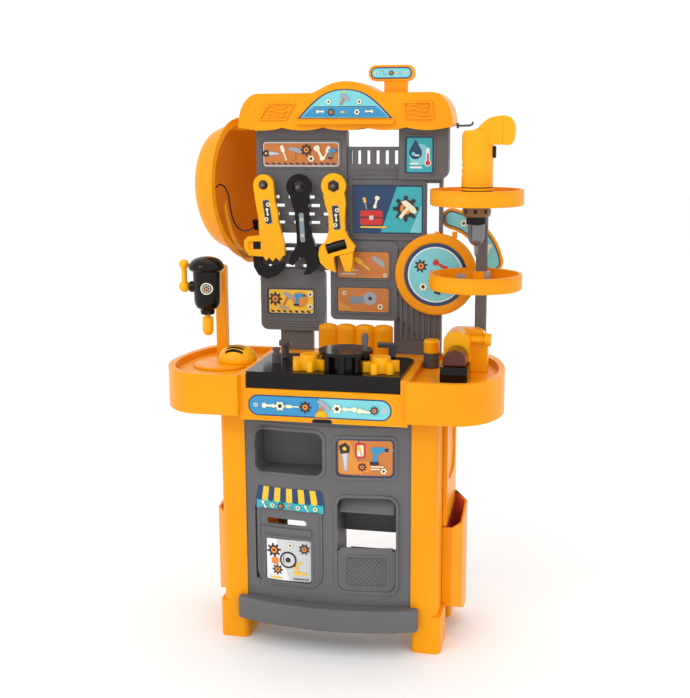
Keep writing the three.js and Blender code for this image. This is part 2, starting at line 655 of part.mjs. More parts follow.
add("arch_sign", "yellow", archSign());

// ---- post and trays ----
add("tray_post", "grey", prism(rounded(
  POST.x - POST.width / 2, POST.x + POST.width / 2, POST.y - POST.depth / 2, POST.y + POST.depth / 2, 3,
), wingFloor, TRAY.upper - 4, 3));

function tray(top, hole) {
  const rim = TRAY.radius, low = top - TRAY.height;
  const cup = turned(TRAY.x, TRAY.y, [
    [0, low], [rim - 2, low], [rim, low + 3], [rim, top], [rim - 5, top], [rim - 5, low + 3], [0, low + 3],
  ], 30);
  const w = POST.width / 2 + GAP, d = POST.depth / 2 + GAP;
  const around = (extra, r) => rounded(
    POST.x - w - extra, POST.x + w + extra, POST.y - d - extra, POST.y + d + extra, r,
  );
  const socket = prism(around(3, 4), low, top - 2, 3);
  const bore = prism(around(0, 3), low - 1, top + 1, 3);
  return cut(join(cup, socket), bore, bar("z", [TRAY.x, TRAY.y], hole, low - 1, low + 4, 24));
}
add("upper_tray", "yellow", tray(TRAY.upper, 22.5));
add("lower_tray", "yellow", tray(TRAY.lower, 4));
const trayFloor = TRAY.lower - TRAY.height + 3 + GAP;
add("loose_nut_1", "silver", cut(
  bar("z", [200, 56], 9, trayFloor, trayFloor + 22, 6),
  bar("z", [200, 56], 4, 500, 700, 10),
));
add("loose_screw", "silver", join(
  bar("z", [240, 58], 9, trayFloor, trayFloor + 6, 16),
  bar("z", [240, 58], 5, trayFloor + 5, trayFloor + 27, 12),
));

// ---- play drill, standing bit down in the upper tray ----
const floorUp = TRAY.upper - TRAY.height + 3 + GAP;
const DRILL_Y = TRAY.y;
function drillBody() {
  const grip = outline([
    [200, 790], [212, 819], [222, 824], [234, 835], [247, 840], [257.7, 841], [257.7, 798], [226, 799],
  ]);
  return cut(
    join(
      turned(TRAY.x, DRILL_Y, [[0, floorUp], [23.5, floorUp], [24, 716], [24, 812], [20, 819], [0, 820]], 24),
      plate(grip, DRILL_Y - 16, DRILL_Y + 16, 3, 4),
    ),
    box(227, 250, DRILL_Y - 8, DRILL_Y + 8, 777, 797),
    bar("z", [TRAY.x, DRILL_Y], 9, 700, 728, 16),
    ...[0, 1, 2].map((i) => box(190, 198, DRILL_Y - 9, DRILL_Y + 9, 752 + 9 * i, 756 + 9 * i)),
  );
}
add("drill_body", "lemon", drillBody());
const capEdge = new THREE.Shape();
capEdge.moveTo(258, 798).lineTo(266, 797).bezierCurveTo(274, 798, 276, 806, 276.5, 818);
capEdge.bezierCurveTo(277, 832, 270, 841, 258, 841);
add("drill_end_cap", "lemon", plate(capEdge, DRILL_Y - 16, DRILL_Y + 16, 3, 4));
add("drill_trigger", "black", slab(rounded(DRILL_Y - 7, DRILL_Y + 7, 778, 796, 4), 234, 248, 3));
function roundTheDrill(count, tool) {
  const turns = [...Array(count).keys()].map((k) => (360 * k) / count);
  return turns.map((angle) => tool.rotate([0, 0, angle]).translate([TRAY.x, DRILL_Y, 0]));
}
add("drill_collar", "brown", cut(
  join(
    turned(TRAY.x, DRILL_Y, [
      [0, 689], [19, 689], [21.5, 692], [21.5, floorUp - GAP], [0, floorUp - GAP],
    ], 24),
    bar("z", [TRAY.x, DRILL_Y], 8.6, 708, 724, 16),
  ),
  ...roundTheDrill(8, box(19.5, 24, -2.5, 2.5, 695, 701)),
  bar("z", [TRAY.x, DRILL_Y], 5.2, 680, 712, 14),
));
add("drill_chuck", "silver", cut(
  turned(TRAY.x, DRILL_Y, [
    [0, 627], [2.4, 632], [3, 645], [6, 646], [11.5, 653], [13, 660], [13, 677], [15.5, 678.5],
    [15.5, 688.4], [5, 688.4], [5, 706], [0, 706],
  ], 22),
  ...roundTheDrill(3, box(10.5, 20, -1.6, 1.6, 640, 676)),
));

// ---- wrenches on the board's pegs ----
const TOOL_Y = [140, 149];
const tool = (points) => plate(outline(points), TOOL_Y[0], TOOL_Y[1], 2);
const hung = ([x, z], solid) => solid.translate([x, 0, z]);
const ringOf = (radius, sides = 24) => bar("y", [0, 0], radius, TOOL_Y[0], TOOL_Y[1], sides);
const hole = (radius, sides) => bar("y", [0, 0], radius, 130, 160, sides);

function pipeWrench() {
  const body = tool([
    [-17, -2], [-13.5, -29], [-8.5, -59], [-8, -83], [-28, -85], [-35, -92], [-35, -104], [-27, -117],
    [-2, -118], [3, -125], [8, -119], [14, -126], [20, -119], [26, -125], [30, -118], [35, -115],
    [34, -95], [24, -57], [24, -44], [19, -26], [17, -2],
  ]);
  const jawSlot = box(-20, -6, 142.5, 146.5, -130, -91);
  const frontWindow = box(-27, -6, 138, 143, -106, -93);
  return cut(join(body, ringOf(17)), hole(8), jawSlot, frontWindow);
}
const hookJaw = join(
  plate(outline([
    [-20, -119], [-19, -135], [-11, -149], [4, -155], [20, -150], [31, -139], [36, -128], [30, -127],
    [22, -131], [14, -130], [8, -136], [2, -131], [-4, -134], [-6, -119],
  ]), TOOL_Y[0] + 0.5, TOOL_Y[1] - 0.5, 2),
  box(-19.5, -6.5, 142.8, 146.2, -121, -93.5),
);
function openWrench() {
  return cut(join(ringOf(21), tool([
    [-16, -13], [-7.5, -40], [-4.5, -78], [-4.5, -96], [-17, -114], [-18, -127], [-11.5, -129],
    [-1, -116], [6, -115], [11.5, -122], [12, -133], [6.5, -144], [17, -143], [29, -135], [33, -127],
    [30, -106], [24, -86], [19, -74], [15.5, -40], [17, -13],
  ])), hole(10.5, 6));
}
const KNURL_TILT = 17;
const tilted = (solid) => solid.rotate([0, -KNURL_TILT, 0]).translate([4, 0, -98]);
function adjustableWrench() {
  return cut(join(ringOf(20.5), tool([
    [-17, -12], [-14, -30], [-8.5, -47], [-8, -72], [-13, -88], [-24, -100], [-26, -112], [-23, -125],
    [-12, -136], [3, -141], [0, -123], [0, -115], [33, -106], [36, -97], [25, -84], [19, -72],
    [18.5, -52], [20, -27], [18, -12],
  ])), hole(10.5, 6), tilted(box(-17, 17, 130, 160, -8.3, 8.3)));
}
const movingJaw = tool([[9, -113], [14, -128], [19, -139], [28, -140], [31, -128], [32, -106.8]]);
const [pegA, pegB, pegC] = PEGS;
add("pipe_wrench", "lemon", hung(pegA, pipeWrench()));
add("pipe_wrench_hook_jaw", "black", hung(pegA, hookJaw));
add("open_end_wrench", "black", hung(pegB, openWrench()));
add("adjustable_wrench", "lemon", hung(pegC, adjustableWrench()));
add("adjustable_jaw", "lemon", hung(pegC, movingJaw));
add("adjusting_knurl", "black", hung(pegC, tilted(bar("x", [144.5, 0], 7.8, -16.5, 16.5, 16))));

// ---- hard hat on the left hook, its opening towards the bench ----
const turn = (HAT.turn * Math.PI) / 180;
const opening = new THREE.Vector3(Math.cos(turn), Math.sin(turn), 0);
const along = new THREE.Vector3(-Math.sin(turn), Math.cos(turn), 0);
const hatFrame = new THREE.Matrix4()
  .makeBasis(along.clone().negate(), new THREE.Vector3(0, 0, 1), opening.clone().negate())
  .setPosition(HAT.x, HAT.y, HAT.z)
  .multiply(new THREE.Matrix4().makeRotationZ((-HAT.tilt * Math.PI) / 180));

function hardHat() {
  const deep = HAT.deep;
  const profile = [
    [0, deep], [34, deep - 3], [62, deep - 12], [82, deep - 28], [91, 14], [92, 3], [100, 3], [100, 0],
    [89, 0], [87, 14], [78, deep - 29], [59, deep - 15], [32, deep - 6], [0, deep - 3.2],
  ].map(([r, z]) => new THREE.Vector2(r, z));
  const g = new THREE.LatheGeometry(profile.reverse(), 26);
  g.rotateX(Math.PI / 2).scale(HAT.across / 100, HAT.up / 100, 1);
  const peak = new THREE.Shape();
  peak.absellipse(0, -16, 62, 112, Math.PI, 2 * Math.PI);
  const hollow = new THREE.Path().absellipse(0, -10, 56, 100, Math.PI, 2 * Math.PI);
  const p = new THREE.ExtrudeGeometry(peak, { depth: 3, bevelEnabled: false, curveSegments: 10 });
  const visor = new THREE.Shape(hollow.getPoints(16));
  const inside = new THREE.ExtrudeGeometry(visor, { depth: 9, bevelEnabled: false });
  inside.translate(0, 0, -3);
  const keep = (geometry) => toSolid(geometry.applyMatrix4(hatFrame));
  const hookHole = bar("x", [HOOK_Y, CANOPY.bottom + 7], 7, -215, -178, 12);
  return cut(join(keep(g), cut(keep(p), keep(inside))), hookHole);
}
add("hard_hat", "yellow", hardHat());

// Route of the chin strap: [distance along the opening, height, stand-off from it].
const STRAP_RADIUS = 1.3;
const STRAP_ROUTE = [
  [-84, 728, 2], [-77, 733, 5], [-66, 728, 7], [-59, 716, 8], [-56, 702, 8], [-53, 688, 8], [-48, 675, 8],
  [-40, 664, 8], [-29, 656, 8], [-16, 652, 8], [0, 653, 8], [12, 657, 8], [26, 663, 8], [40, 672, 8],
  [56, 688, 8], [70, 706, 7], [78, 720, 5], [83, 730, 2],
];
const strapPoint = ([s, z, off]) => new THREE.Vector3(
  HAT.x + along.x * s + opening.x * off, HAT.y + along.y * s + opening.y * off, z,
);
function chinStrap() {
  const curve = new THREE.CatmullRomCurve3(STRAP_ROUTE.map(strapPoint), false, "centripetal");
  const section = new THREE.Shape().absarc(0, 0, STRAP_RADIUS, 0, 2 * Math.PI);
  return toSolid(new THREE.ExtrudeGeometry(section, { steps: 38, extrudePath: curve, curveSegments: 4 }));
}
add("chin_strap", "black", chinStrap());
function strapSlider() {
  const g = new THREE.BoxGeometry(12, 7, 18);
  const bore = new THREE.CylinderGeometry(2.2, 2.2, 30, 10);
  const a = strapPoint(STRAP_ROUTE[11]), b = strapPoint(STRAP_ROUTE[12]);
  const threaded = b.clone().sub(a).normalize();
  const q = new THREE.Quaternion().setFromUnitVectors(new THREE.Vector3(0, 1, 0), threaded);
  const middle = a.clone().add(b).multiplyScalar(0.5);
  const place = new THREE.Matrix4().compose(middle, q, new THREE.Vector3(1, 1, 1));
  return cut(toSolid(g.applyMatrix4(place)), toSolid(bore.applyMatrix4(place)));
}
add("strap_slider", "black", strapSlider());

// The origin is at the middle of the whole bench, on the floor.
const bounds = new THREE.Box3().setFromObject(bench);
const centre = bounds.getCenter(new THREE.Vector3());
bench.position.set(-centre.x, -centre.y, -bounds.min.z);

export default bench;
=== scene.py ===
"""A child's toy workbench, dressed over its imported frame. Design lengths are millimetres."""

import json
import math

import bmesh
import bpy
from mathutils import Matrix, Vector


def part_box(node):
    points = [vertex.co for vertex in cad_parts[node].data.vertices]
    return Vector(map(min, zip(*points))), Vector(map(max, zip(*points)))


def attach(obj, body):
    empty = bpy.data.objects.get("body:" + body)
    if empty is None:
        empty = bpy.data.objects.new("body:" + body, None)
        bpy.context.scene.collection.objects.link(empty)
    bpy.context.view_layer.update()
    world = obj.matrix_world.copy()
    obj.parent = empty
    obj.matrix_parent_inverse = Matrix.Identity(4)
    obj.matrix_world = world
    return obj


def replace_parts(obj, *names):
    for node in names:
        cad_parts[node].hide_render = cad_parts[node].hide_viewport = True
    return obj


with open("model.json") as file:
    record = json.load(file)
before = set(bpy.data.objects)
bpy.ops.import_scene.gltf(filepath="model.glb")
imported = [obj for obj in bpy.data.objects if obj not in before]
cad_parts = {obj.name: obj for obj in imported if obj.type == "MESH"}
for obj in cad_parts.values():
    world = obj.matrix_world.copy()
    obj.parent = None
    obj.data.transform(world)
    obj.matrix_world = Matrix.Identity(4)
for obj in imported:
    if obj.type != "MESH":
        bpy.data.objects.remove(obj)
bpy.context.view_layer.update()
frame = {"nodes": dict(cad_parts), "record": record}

MM = 0.001
panel_low, panel_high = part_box("front_panel")
SHIFT = Vector(((panel_low.x + panel_high.x) / 2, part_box("right_side_panel")[0].y, 0))
BODY_OF = {node: body for body, members in frame["record"]["behaviour"]["bodies"].items() for node in members}
SLOT_OF = {entry["node"]: entry["material_slot"] for entry in frame["record"]["subparts"]}


def at(x, y, z):
    """A design point, in the row frame."""
    return Vector((x, y, z)) * MM + SHIFT


def add_object(name, data):
    piece = bpy.data.objects.new(name, data)
    bpy.context.scene.collection.objects.link(piece)
    return piece


# ---- camera, solved from the object's straight edges in the photograph ----
CAMERA_SPOT = (380, -1647, 829.3)
CAMERA_TURNS = (12, 11.355, -0.2616)
LENS, SENSOR = 57.77, 36


def make_camera():
    turn, tip, roll = (math.radians(angle) for angle in CAMERA_TURNS)
    right = Vector((math.cos(turn), math.sin(turn), 0))
    ahead = Vector((-math.sin(turn) * math.cos(tip), math.cos(turn) * math.cos(tip), -math.sin(tip)))
    up = right.cross(ahead)
    facing = Matrix((right, up, -ahead)).transposed() @ Matrix.Rotation(roll, 3, "Z")
    data = bpy.data.cameras.new("camera")
    data.lens = LENS
    data.sensor_width = SENSOR
    camera = add_object("camera", data)
    camera.matrix_world = Matrix.Translation(at(*CAMERA_SPOT)) @ facing.to_4x4()
    bpy.context.scene.camera = camera


make_camera()
bpy.context.scene.view_settings.view_transform = "Standard"


# ---- materials ----
NOISE_RANGE = (0.3, 0.7)
COAT_ROUGHNESS = 0.12
RELIEF_STRENGTH = 0.16
PATCHES = 9.0


class Shader:
    """A Principled material whose colour, gloss and relief come from procedural noise."""

    def __init__(self, name, color, rough, metallic=0.0, coat=0.0, shine=0.4):
        self.material = bpy.data.materials.new(name)
        self.material.use_nodes = True
        self.tree = self.material.node_tree
        self.shader = self.tree.nodes["Principled BSDF"]
        self.shader.inputs["Metallic"].default_value = metallic
        self.shader.inputs["Coat Weight"].default_value = coat
        self.shader.inputs["Specular IOR Level"].default_value = shine
        self.shader.inputs["Coat Roughness"].default_value = COAT_ROUGHNESS
        self.color = color
        self.rough = rough
        self.place = self.tree.nodes.new("ShaderNodeTexCoord").outputs["Object"]

    def noise(self, scale, detail=3.0):
        node = self.tree.nodes.new("ShaderNodeTexNoise")
        node.inputs["Scale"].default_value = scale
        node.inputs["Detail"].default_value = detail
        self.tree.links.new(self.place, node.inputs["Vector"])
        return node.outputs["Fac"]

    def spread(self, value, low, high):
        node = self.tree.nodes.new("ShaderNodeMapRange")
        for socket, level in zip(("From Min", "From Max", "To Min", "To Max"), (*NOISE_RANGE, low, high)):
            node.inputs[socket].default_value = level
        self.tree.links.new(value, node.inputs["Value"])
        return node.outputs["Result"]

    def paint(self, vary, hue=0.0):
        ramp = self.tree.nodes.new("ShaderNodeValToRGB")
        r, g, b = self.color
        dark, light = 1 - vary, 1 + vary
        ends = ((r * dark, g * (dark - hue), b * dark, 1),
                (min(1, r * light), min(1, g * (light + hue)), min(1, b * light), 1))
        for element, position, color in zip(ramp.color_ramp.elements, NOISE_RANGE, ends):
            element.position = position
            element.color = color
        self.tree.links.new(self.noise(PATCHES), ramp.inputs["Fac"])
        self.tree.links.new(ramp.outputs["Color"], self.shader.inputs["Base Color"])
        gloss = self.spread(self.noise(PATCHES * 5, 5.0), self.rough * 0.82, min(1, self.rough * 1.22))
        self.tree.links.new(gloss, self.shader.inputs["Roughness"])
        return self

    def relief(self, scale, height):
        bump = self.tree.nodes.new("ShaderNodeBump")
        bump.inputs["Strength"].default_value = RELIEF_STRENGTH
        bump.inputs["Distance"].default_value = height * MM
        self.tree.links.new(self.noise(scale, 2.0), bump.inputs["Height"])
        self.tree.links.new(bump.outputs["Normal"], self.shader.inputs["Normal"])
        return self


def plastic(name, color, rough, grain=900, height=0.06, vary=0.05, hue=0.0, **look):
    """look may hold metallic, coat and shine."""
    return Shader(name, color, rough, **look).paint(vary, hue).relief(grain, height).material


FINISH = {
    name + "_plastic": plastic(name + "_plastic", color, rough, **look) for name, color, rough, look in (
        ("yellow", (0.9, 0.335, 0.0015), 0.34, dict(coat=0.06, grain=260, height=0.05, hue=0.02, shine=0.16)),
        ("lemon", (0.94, 0.43, 0.002), 0.3, dict(coat=0.12, grain=260, height=0.05, hue=0.02, shine=0.2)),
        ("grey", (0.134, 0.131, 0.135), 0.46, dict(grain=1500, height=0.1, shine=0.25)),
        ("black", (0.006, 0.0045, 0.004), 0.16, dict(coat=0.1, grain=220, height=0.04, vary=0.2, shine=0.16)),
        ("dark_grey", (0.1, 0.1, 0.112), 0.3, dict(metallic=0.3, grain=700, shine=0.3)),
        ("brown", (0.085, 0.014, 0.005), 0.2, dict(coat=0.2, grain=400, shine=0.3)),
        ("silver", (0.42, 0.41, 0.44), 0.3, dict(metallic=0.6, grain=600)),
    )
}
INKS = {
    "navy": (0.008, 0.045, 0.13), "teal": (0.03, 0.42, 0.47), "blue": (0.03, 0.28, 0.55),
    "sky": (0.2, 0.62, 0.68), "cream": (0.9, 0.84, 0.6), "white": (0.85, 0.85, 0.85),
    "orange": (0.85, 0.25, 0.02), "rust": (0.6, 0.19, 0.03), "red": (0.6, 0.02, 0.015),
    "sun": (0.95, 0.55, 0.02), "dark": (0.02, 0.018, 0.018), "steel": (0.35, 0.38, 0.42),
    "pale": (0.62, 0.63, 0.62), "amber": (0.72, 0.27, 0.03), "wine": (0.14, 0.008, 0.008),
    "slate": (0.2, 0.26, 0.32),
}
INK = {name: plastic("print_" + name, color, 0.34, coat=0.2, grain=500, height=0.02, vary=0.06)
       for name, color in INKS.items()}
# painted shade: a darker, more orange copy of the yellow for the hard hat's inside face, standing in for the
# shade inside the hat
HAT_INSIDE_SHADE = plastic("yellow_painted_shade", (0.86, 0.27, 0.004), 0.5, grain=500, height=0.08, vary=0.08, hue=0.03,
                 shine=0.15)
# painted shade: a red copy of the yellow for the pockets' inward faces, standing in for the shade inside them
POCKET_SHADE = plastic("pocket_painted_shade", (0.88, 0.2, 0.12), 0.45, grain=500, height=0.06, vary=0.1, shine=0.2)


# ---- mesh tools ----
MERGE_WITHIN = 0.02


def link(name, mesh, finish, body, bevel=0.0, steps=2, limit=32):
    """A smooth-shaded object of this mesh, with its edges rounded, riding on a body."""
    for polygon in mesh.polygons:
        polygon.use_smooth = True
    piece = add_object(name, mesh)
    for material in finish if isinstance(finish, list) else [finish]:
        mesh.materials.append(material)
    if bevel:
        edge = piece.modifiers.new("edges", "BEVEL")
        edge.width = bevel * MM
        edge.segments = steps
        edge.limit_method = "ANGLE"
        edge.angle_limit = math.radians(limit)
        edge.use_clamp_overlap = True
        edge.harden_normals = False
        facing = piece.modifiers.new("facing", "WEIGHTED_NORMAL")
        facing.keep_sharp = True
    else:
        mesh.set_sharp_from_angle(angle=math.radians(limit))
    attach(piece, body)
    return piece


def mesh_from(name, bm):
    bmesh.ops.recalc_face_normals(bm, faces=bm.faces)
    mesh = bpy.data.meshes.new(name)
    bm.to_mesh(mesh)
    bm.free()
    return mesh


def dress(node, bevel=0.8, steps=2):
    """The CAD piece with its flat faces merged and its edges rounded."""
    bm = bmesh.new()
    bm.from_mesh(frame["nodes"][node].data)
    bmesh.ops.remove_doubles(bm, verts=bm.verts, dist=MERGE_WITHIN * MM)
    bmesh.ops.dissolve_limit(bm, angle_limit=math.radians(1), verts=bm.verts, edges=bm.edges)
    slot = SLOT_OF[node]
    name = node + "_skin"
    piece = link(name, mesh_from(name, bm), FINISH[slot], BODY_OF[node], bevel, steps)
    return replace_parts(piece, node)


def bridge(bm, rings, sides):
    """Faces between one closed ring of points and the next; a ring of one point is a pole."""
    for low, high in zip(rings, rings[1:]):
        for k in range(sides):
            corners = [low[k % len(low)], low[(k + 1) % len(low)], high[(k + 1) % len(high)],
                       high[k % len(high)]]
            unique = list(dict.fromkeys(corners))
            if len(unique) > 2:
                bm.faces.new(unique)


def web(bm, low, high):
    """Faces between two open rows of points."""
    for corners in zip(low, low[1:], high[1:], high):
        bm.faces.new(corners)


def lathe(bm, x, y, profile, sides=72, axis="z"):
    """Turns [radius, height] points about a line through (x, y); the profile starts and ends on the line."""
    rings = []
    for radius, height in profile:
        if radius < 1e-6:
            rings.append([bm.verts.new((0, 0, height))])
            continue
        turn = [2 * math.pi * k / sides for k in range(sides)]
        rings.append([bm.verts.new((radius * math.cos(a), radius * math.sin(a), height)) for a in turn])
    bridge(bm, rings, sides)
    made = [v for ring in rings for v in ring]
    stood = {"z": Matrix.Identity(4), "x": Matrix.Rotation(math.pi / 2, 4, "Y"),
             "y": Matrix.Rotation(-math.pi / 2, 4, "X")}[axis]
    where = {"z": (x, y, 0), "x": (0, x, y), "y": (x, 0, y)}[axis]
    for v in made:
        v.co = at(*(stood @ v.co + Vector(where)))
    return made


def turned(name, nodes, x, y, profile, body=None, finish=None):
    """One turned piece that stands for CAD nodes."""
    bm = bmesh.new()
    lathe(bm, x, y, profile)
    node = nodes[0] if nodes else None
    slot = SLOT_OF[node] if node else None
    piece = link(name, mesh_from(name, bm), finish or FINISH[slot], body or BODY_OF[node], 0.6)
    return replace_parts(piece, *nodes) if nodes else piece


def arc(x, y, r, start, end, steps=10):
    turns = [math.radians(start + (end - start) * k / steps) for k in range(steps + 1)]
    return [(x + r * math.cos(a), y + r * math.sin(a)) for a in turns]


def rect(x0, x1, y0, y1, r=0.0, corners=None):
    a, b, c, d = corners or (r, r, r, r)
    points = []
    for radius, cx, cy, start in ((a, x0, y0, 180), (b, x1, y0, 270), (c, x1, y1, 0), (d, x0, y1, 90)):
        if radius < 0.01:
            points.append((cx, cy))
            continue
        ix = cx + (radius if cx == x0 else -radius)
        iy = cy + (radius if cy == y0 else -radius)
        points += arc(ix, iy, radius, start, start + 90, 8)
    return points


def disc(x, y, r, sides=40):
    return arc(x, y, r, 0, 360, sides)[:-1]


def curve(points, *controls, steps=14):
    """Continues an outline with a Bezier arc of two or three more control points."""
    start = points[-1]
    for k in range(1, steps + 1):
        t = k / steps
        row = [start, *controls]
        while len(row) > 1:
            row = [tuple(a + (b - a) * t for a, b in zip(p, q)) for p, q in zip(row, row[1:])]
        points.append(row[0])
    return points


def placed(points, x, y, size=1.0, turn=0.0):
    c, s = math.cos(math.radians(turn)) * size, math.sin(math.radians(turn)) * size
    return [(x + u * c - v * s, y + u * s + v * c) for u, v in points]


def fill(bm, outlines, spot):
    """A flat face with holes: the first outline is the rim. spot places a point of the outline."""
    edges = []
    for outline in outlines:
        ring = [bm.verts.new(spot(u, v)) for u, v in outline]
        edges += [bm.edges.new((a, b)) for a, b in zip(ring, ring[1:] + ring[:1])]
    return bmesh.ops.triangle_fill(bm, edges=edges, use_beauty=True)["geom"]


def extruded(bm, geom):
    """Extrudes the faces in geom, and gives back the new vertices, which are still in place."""
    faces = [g for g in geom if isinstance(g, bmesh.types.BMFace)]
    grown = bmesh.ops.extrude_face_region(bm, geom=faces)["geom"]
    return [g for g in grown if isinstance(g, bmesh.types.BMVert)]


def sliced(bm, outline, width):
    """Cuts a flat shape across at every width, so that it can follow a curve."""
    x, end = min(p[0] for p in outline) + width, max(p[0] for p in outline)
    while x < end:
        bmesh.ops.bisect_plane(bm, geom=bm.verts[:] + bm.edges[:] + bm.faces[:],
                               plane_co=(x, 0, 0), plane_no=(1, 0, 0))
        x += width


def board(bm, outlines, y0, y1):
    """A plate drawn in X and Z, between two depths."""
    front = extruded(bm, fill(bm, outlines, lambda u, v: at(u, y1, v)))
    bmesh.ops.translate(bm, verts=front, vec=(0, (y0 - y1) * MM, 0))


def block(bm, x0, x1, y0, y1, z0, z1):
    made = bmesh.ops.create_cube(bm, size=1)["verts"]
    low, high = at(x0, y0, z0), at(x1, y1, z1)
    for v in made:
        v.co = Vector([low[i] + (v.co[i] + 0.5) * (high[i] - low[i]) for i in range(3)])
    return made


def carve(piece, cutters):
    """Cuts the cutters' meshes out of a piece for good."""
    for bm in cutters:
        tool = add_object("cutter", mesh_from("cutter", bm))
        made = piece.modifiers.new("carve", "BOOLEAN")
        made.operation = "DIFFERENCE"
        made.solver = "EXACT"
        made.object = tool
        while piece.modifiers[0] != made:
            piece.modifiers.move(len(piece.modifiers) - 1, 0)
        bpy.context.view_layer.update()
        others = [m for m in piece.modifiers if m != made]
        for m in others:
            m.show_viewport = False
        bpy.context.view_layer.update()
        shaped = bpy.data.meshes.new_from_object(piece.evaluated_get(bpy.context.evaluated_depsgraph_get()))
        piece.modifiers.remove(made)
        for m in others:
            m.show_viewport = True
        piece.data = shaped
        bpy.data.objects.remove(tool)


def solid(name, build, nodes=(), body=None, finish=None, bevel=0.8, steps=2, slot=None):
    """A piece whose mesh the given function builds."""
    bm = bmesh.new()
    build(bm)
    slot = slot or (SLOT_OF[nodes[0]] if nodes else None)
    finish, body = finish or FINISH[slot], body or BODY_OF[nodes[0]]
    piece = link(name, mesh_from(name, bm), finish, body, bevel, steps)
    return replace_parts(piece, *nodes) if nodes else piece


def trim(name, build, slot, bevel=0.8, steps=2, body="bench"):
    """A piece that stands for no CAD node; its slot says its finish."""
    return solid(name, build, body=body, finish=FINISH[slot], bevel=bevel, steps=steps, slot=slot)


def slit(x0, x1, y0, y1, z0, z1):
    """A block to cut with."""
    bm = bmesh.new()
    block(bm, x0, x1, y0, y1, z0, z1)
    return bm


# ---- printed labels: coloured outlines stacked on a surface ----
BASE = 0.45
LAYER = 0.1


def label(name, body, layers, surface, wrap=0.0):
    """layers are (ink, outline) or (ink, [rim, hole]), lowest first; surface(u, v, height) places a point."""
    bm = bmesh.new()
    inks = []
    for level, (ink, outline) in enumerate(layers):
        outlines = outline if isinstance(outline[0][0], (tuple, list)) else [outline]
        if ink not in inks:
            inks.append(ink)
        height = BASE + LAYER * level
        part = bmesh.new()
        fill(part, outlines, lambda u, v: Vector((u, 0, v)))
        if wrap:
            sliced(part, outlines[0], wrap)
        for v in part.verts:
            v.co = surface(v.co.x, v.co.z, height)
        for f in part.faces:
            f.material_index = inks.index(ink)
        scratch = bpy.data.meshes.new("scratch")
        part.to_mesh(scratch)
        part.free()
        bm.from_mesh(scratch)
        bpy.data.meshes.remove(scratch)
    mesh = bpy.data.meshes.new(name)
    bm.to_mesh(mesh)
    bm.free()
    return link(name, mesh, [INK[i] for i in inks], body)


def facing(y):
    """A flat front-facing surface at this depth."""
    return lambda u, v, height: at(u, y - height, v)


BOW_DEPTH, BOW_HALF = 16, 133.7
BOW_RADIUS = (BOW_HALF * BOW_HALF + BOW_DEPTH * BOW_DEPTH) / (2 * BOW_DEPTH)


def bow_y(x, front):
    """The depth of the bowed front at this x; front is its nearest depth."""
    return front + BOW_RADIUS - math.sqrt(BOW_RADIUS * BOW_RADIUS - x * x)


def bowed(front, floor=-99):
    """The bowed front of the cabinet, or the flat floor of a recess in it."""
    return lambda u, v, height: at(u, max(floor, bow_y(u, front)) - height, v)


# ---- generic pictures of tools, each about 20 across, centred on 0 ----
def gear_points(teeth=8, inner=7.0, outer=10.0):
    points = []
    for k in range(teeth):
        for share, radius in ((-0.28, inner), (-0.17, outer), (0.17, outer), (0.28, inner)):
            a = 2 * math.pi * (k + share) / teeth
            points.append((radius * math.cos(a), radius * math.sin(a)))
    return points


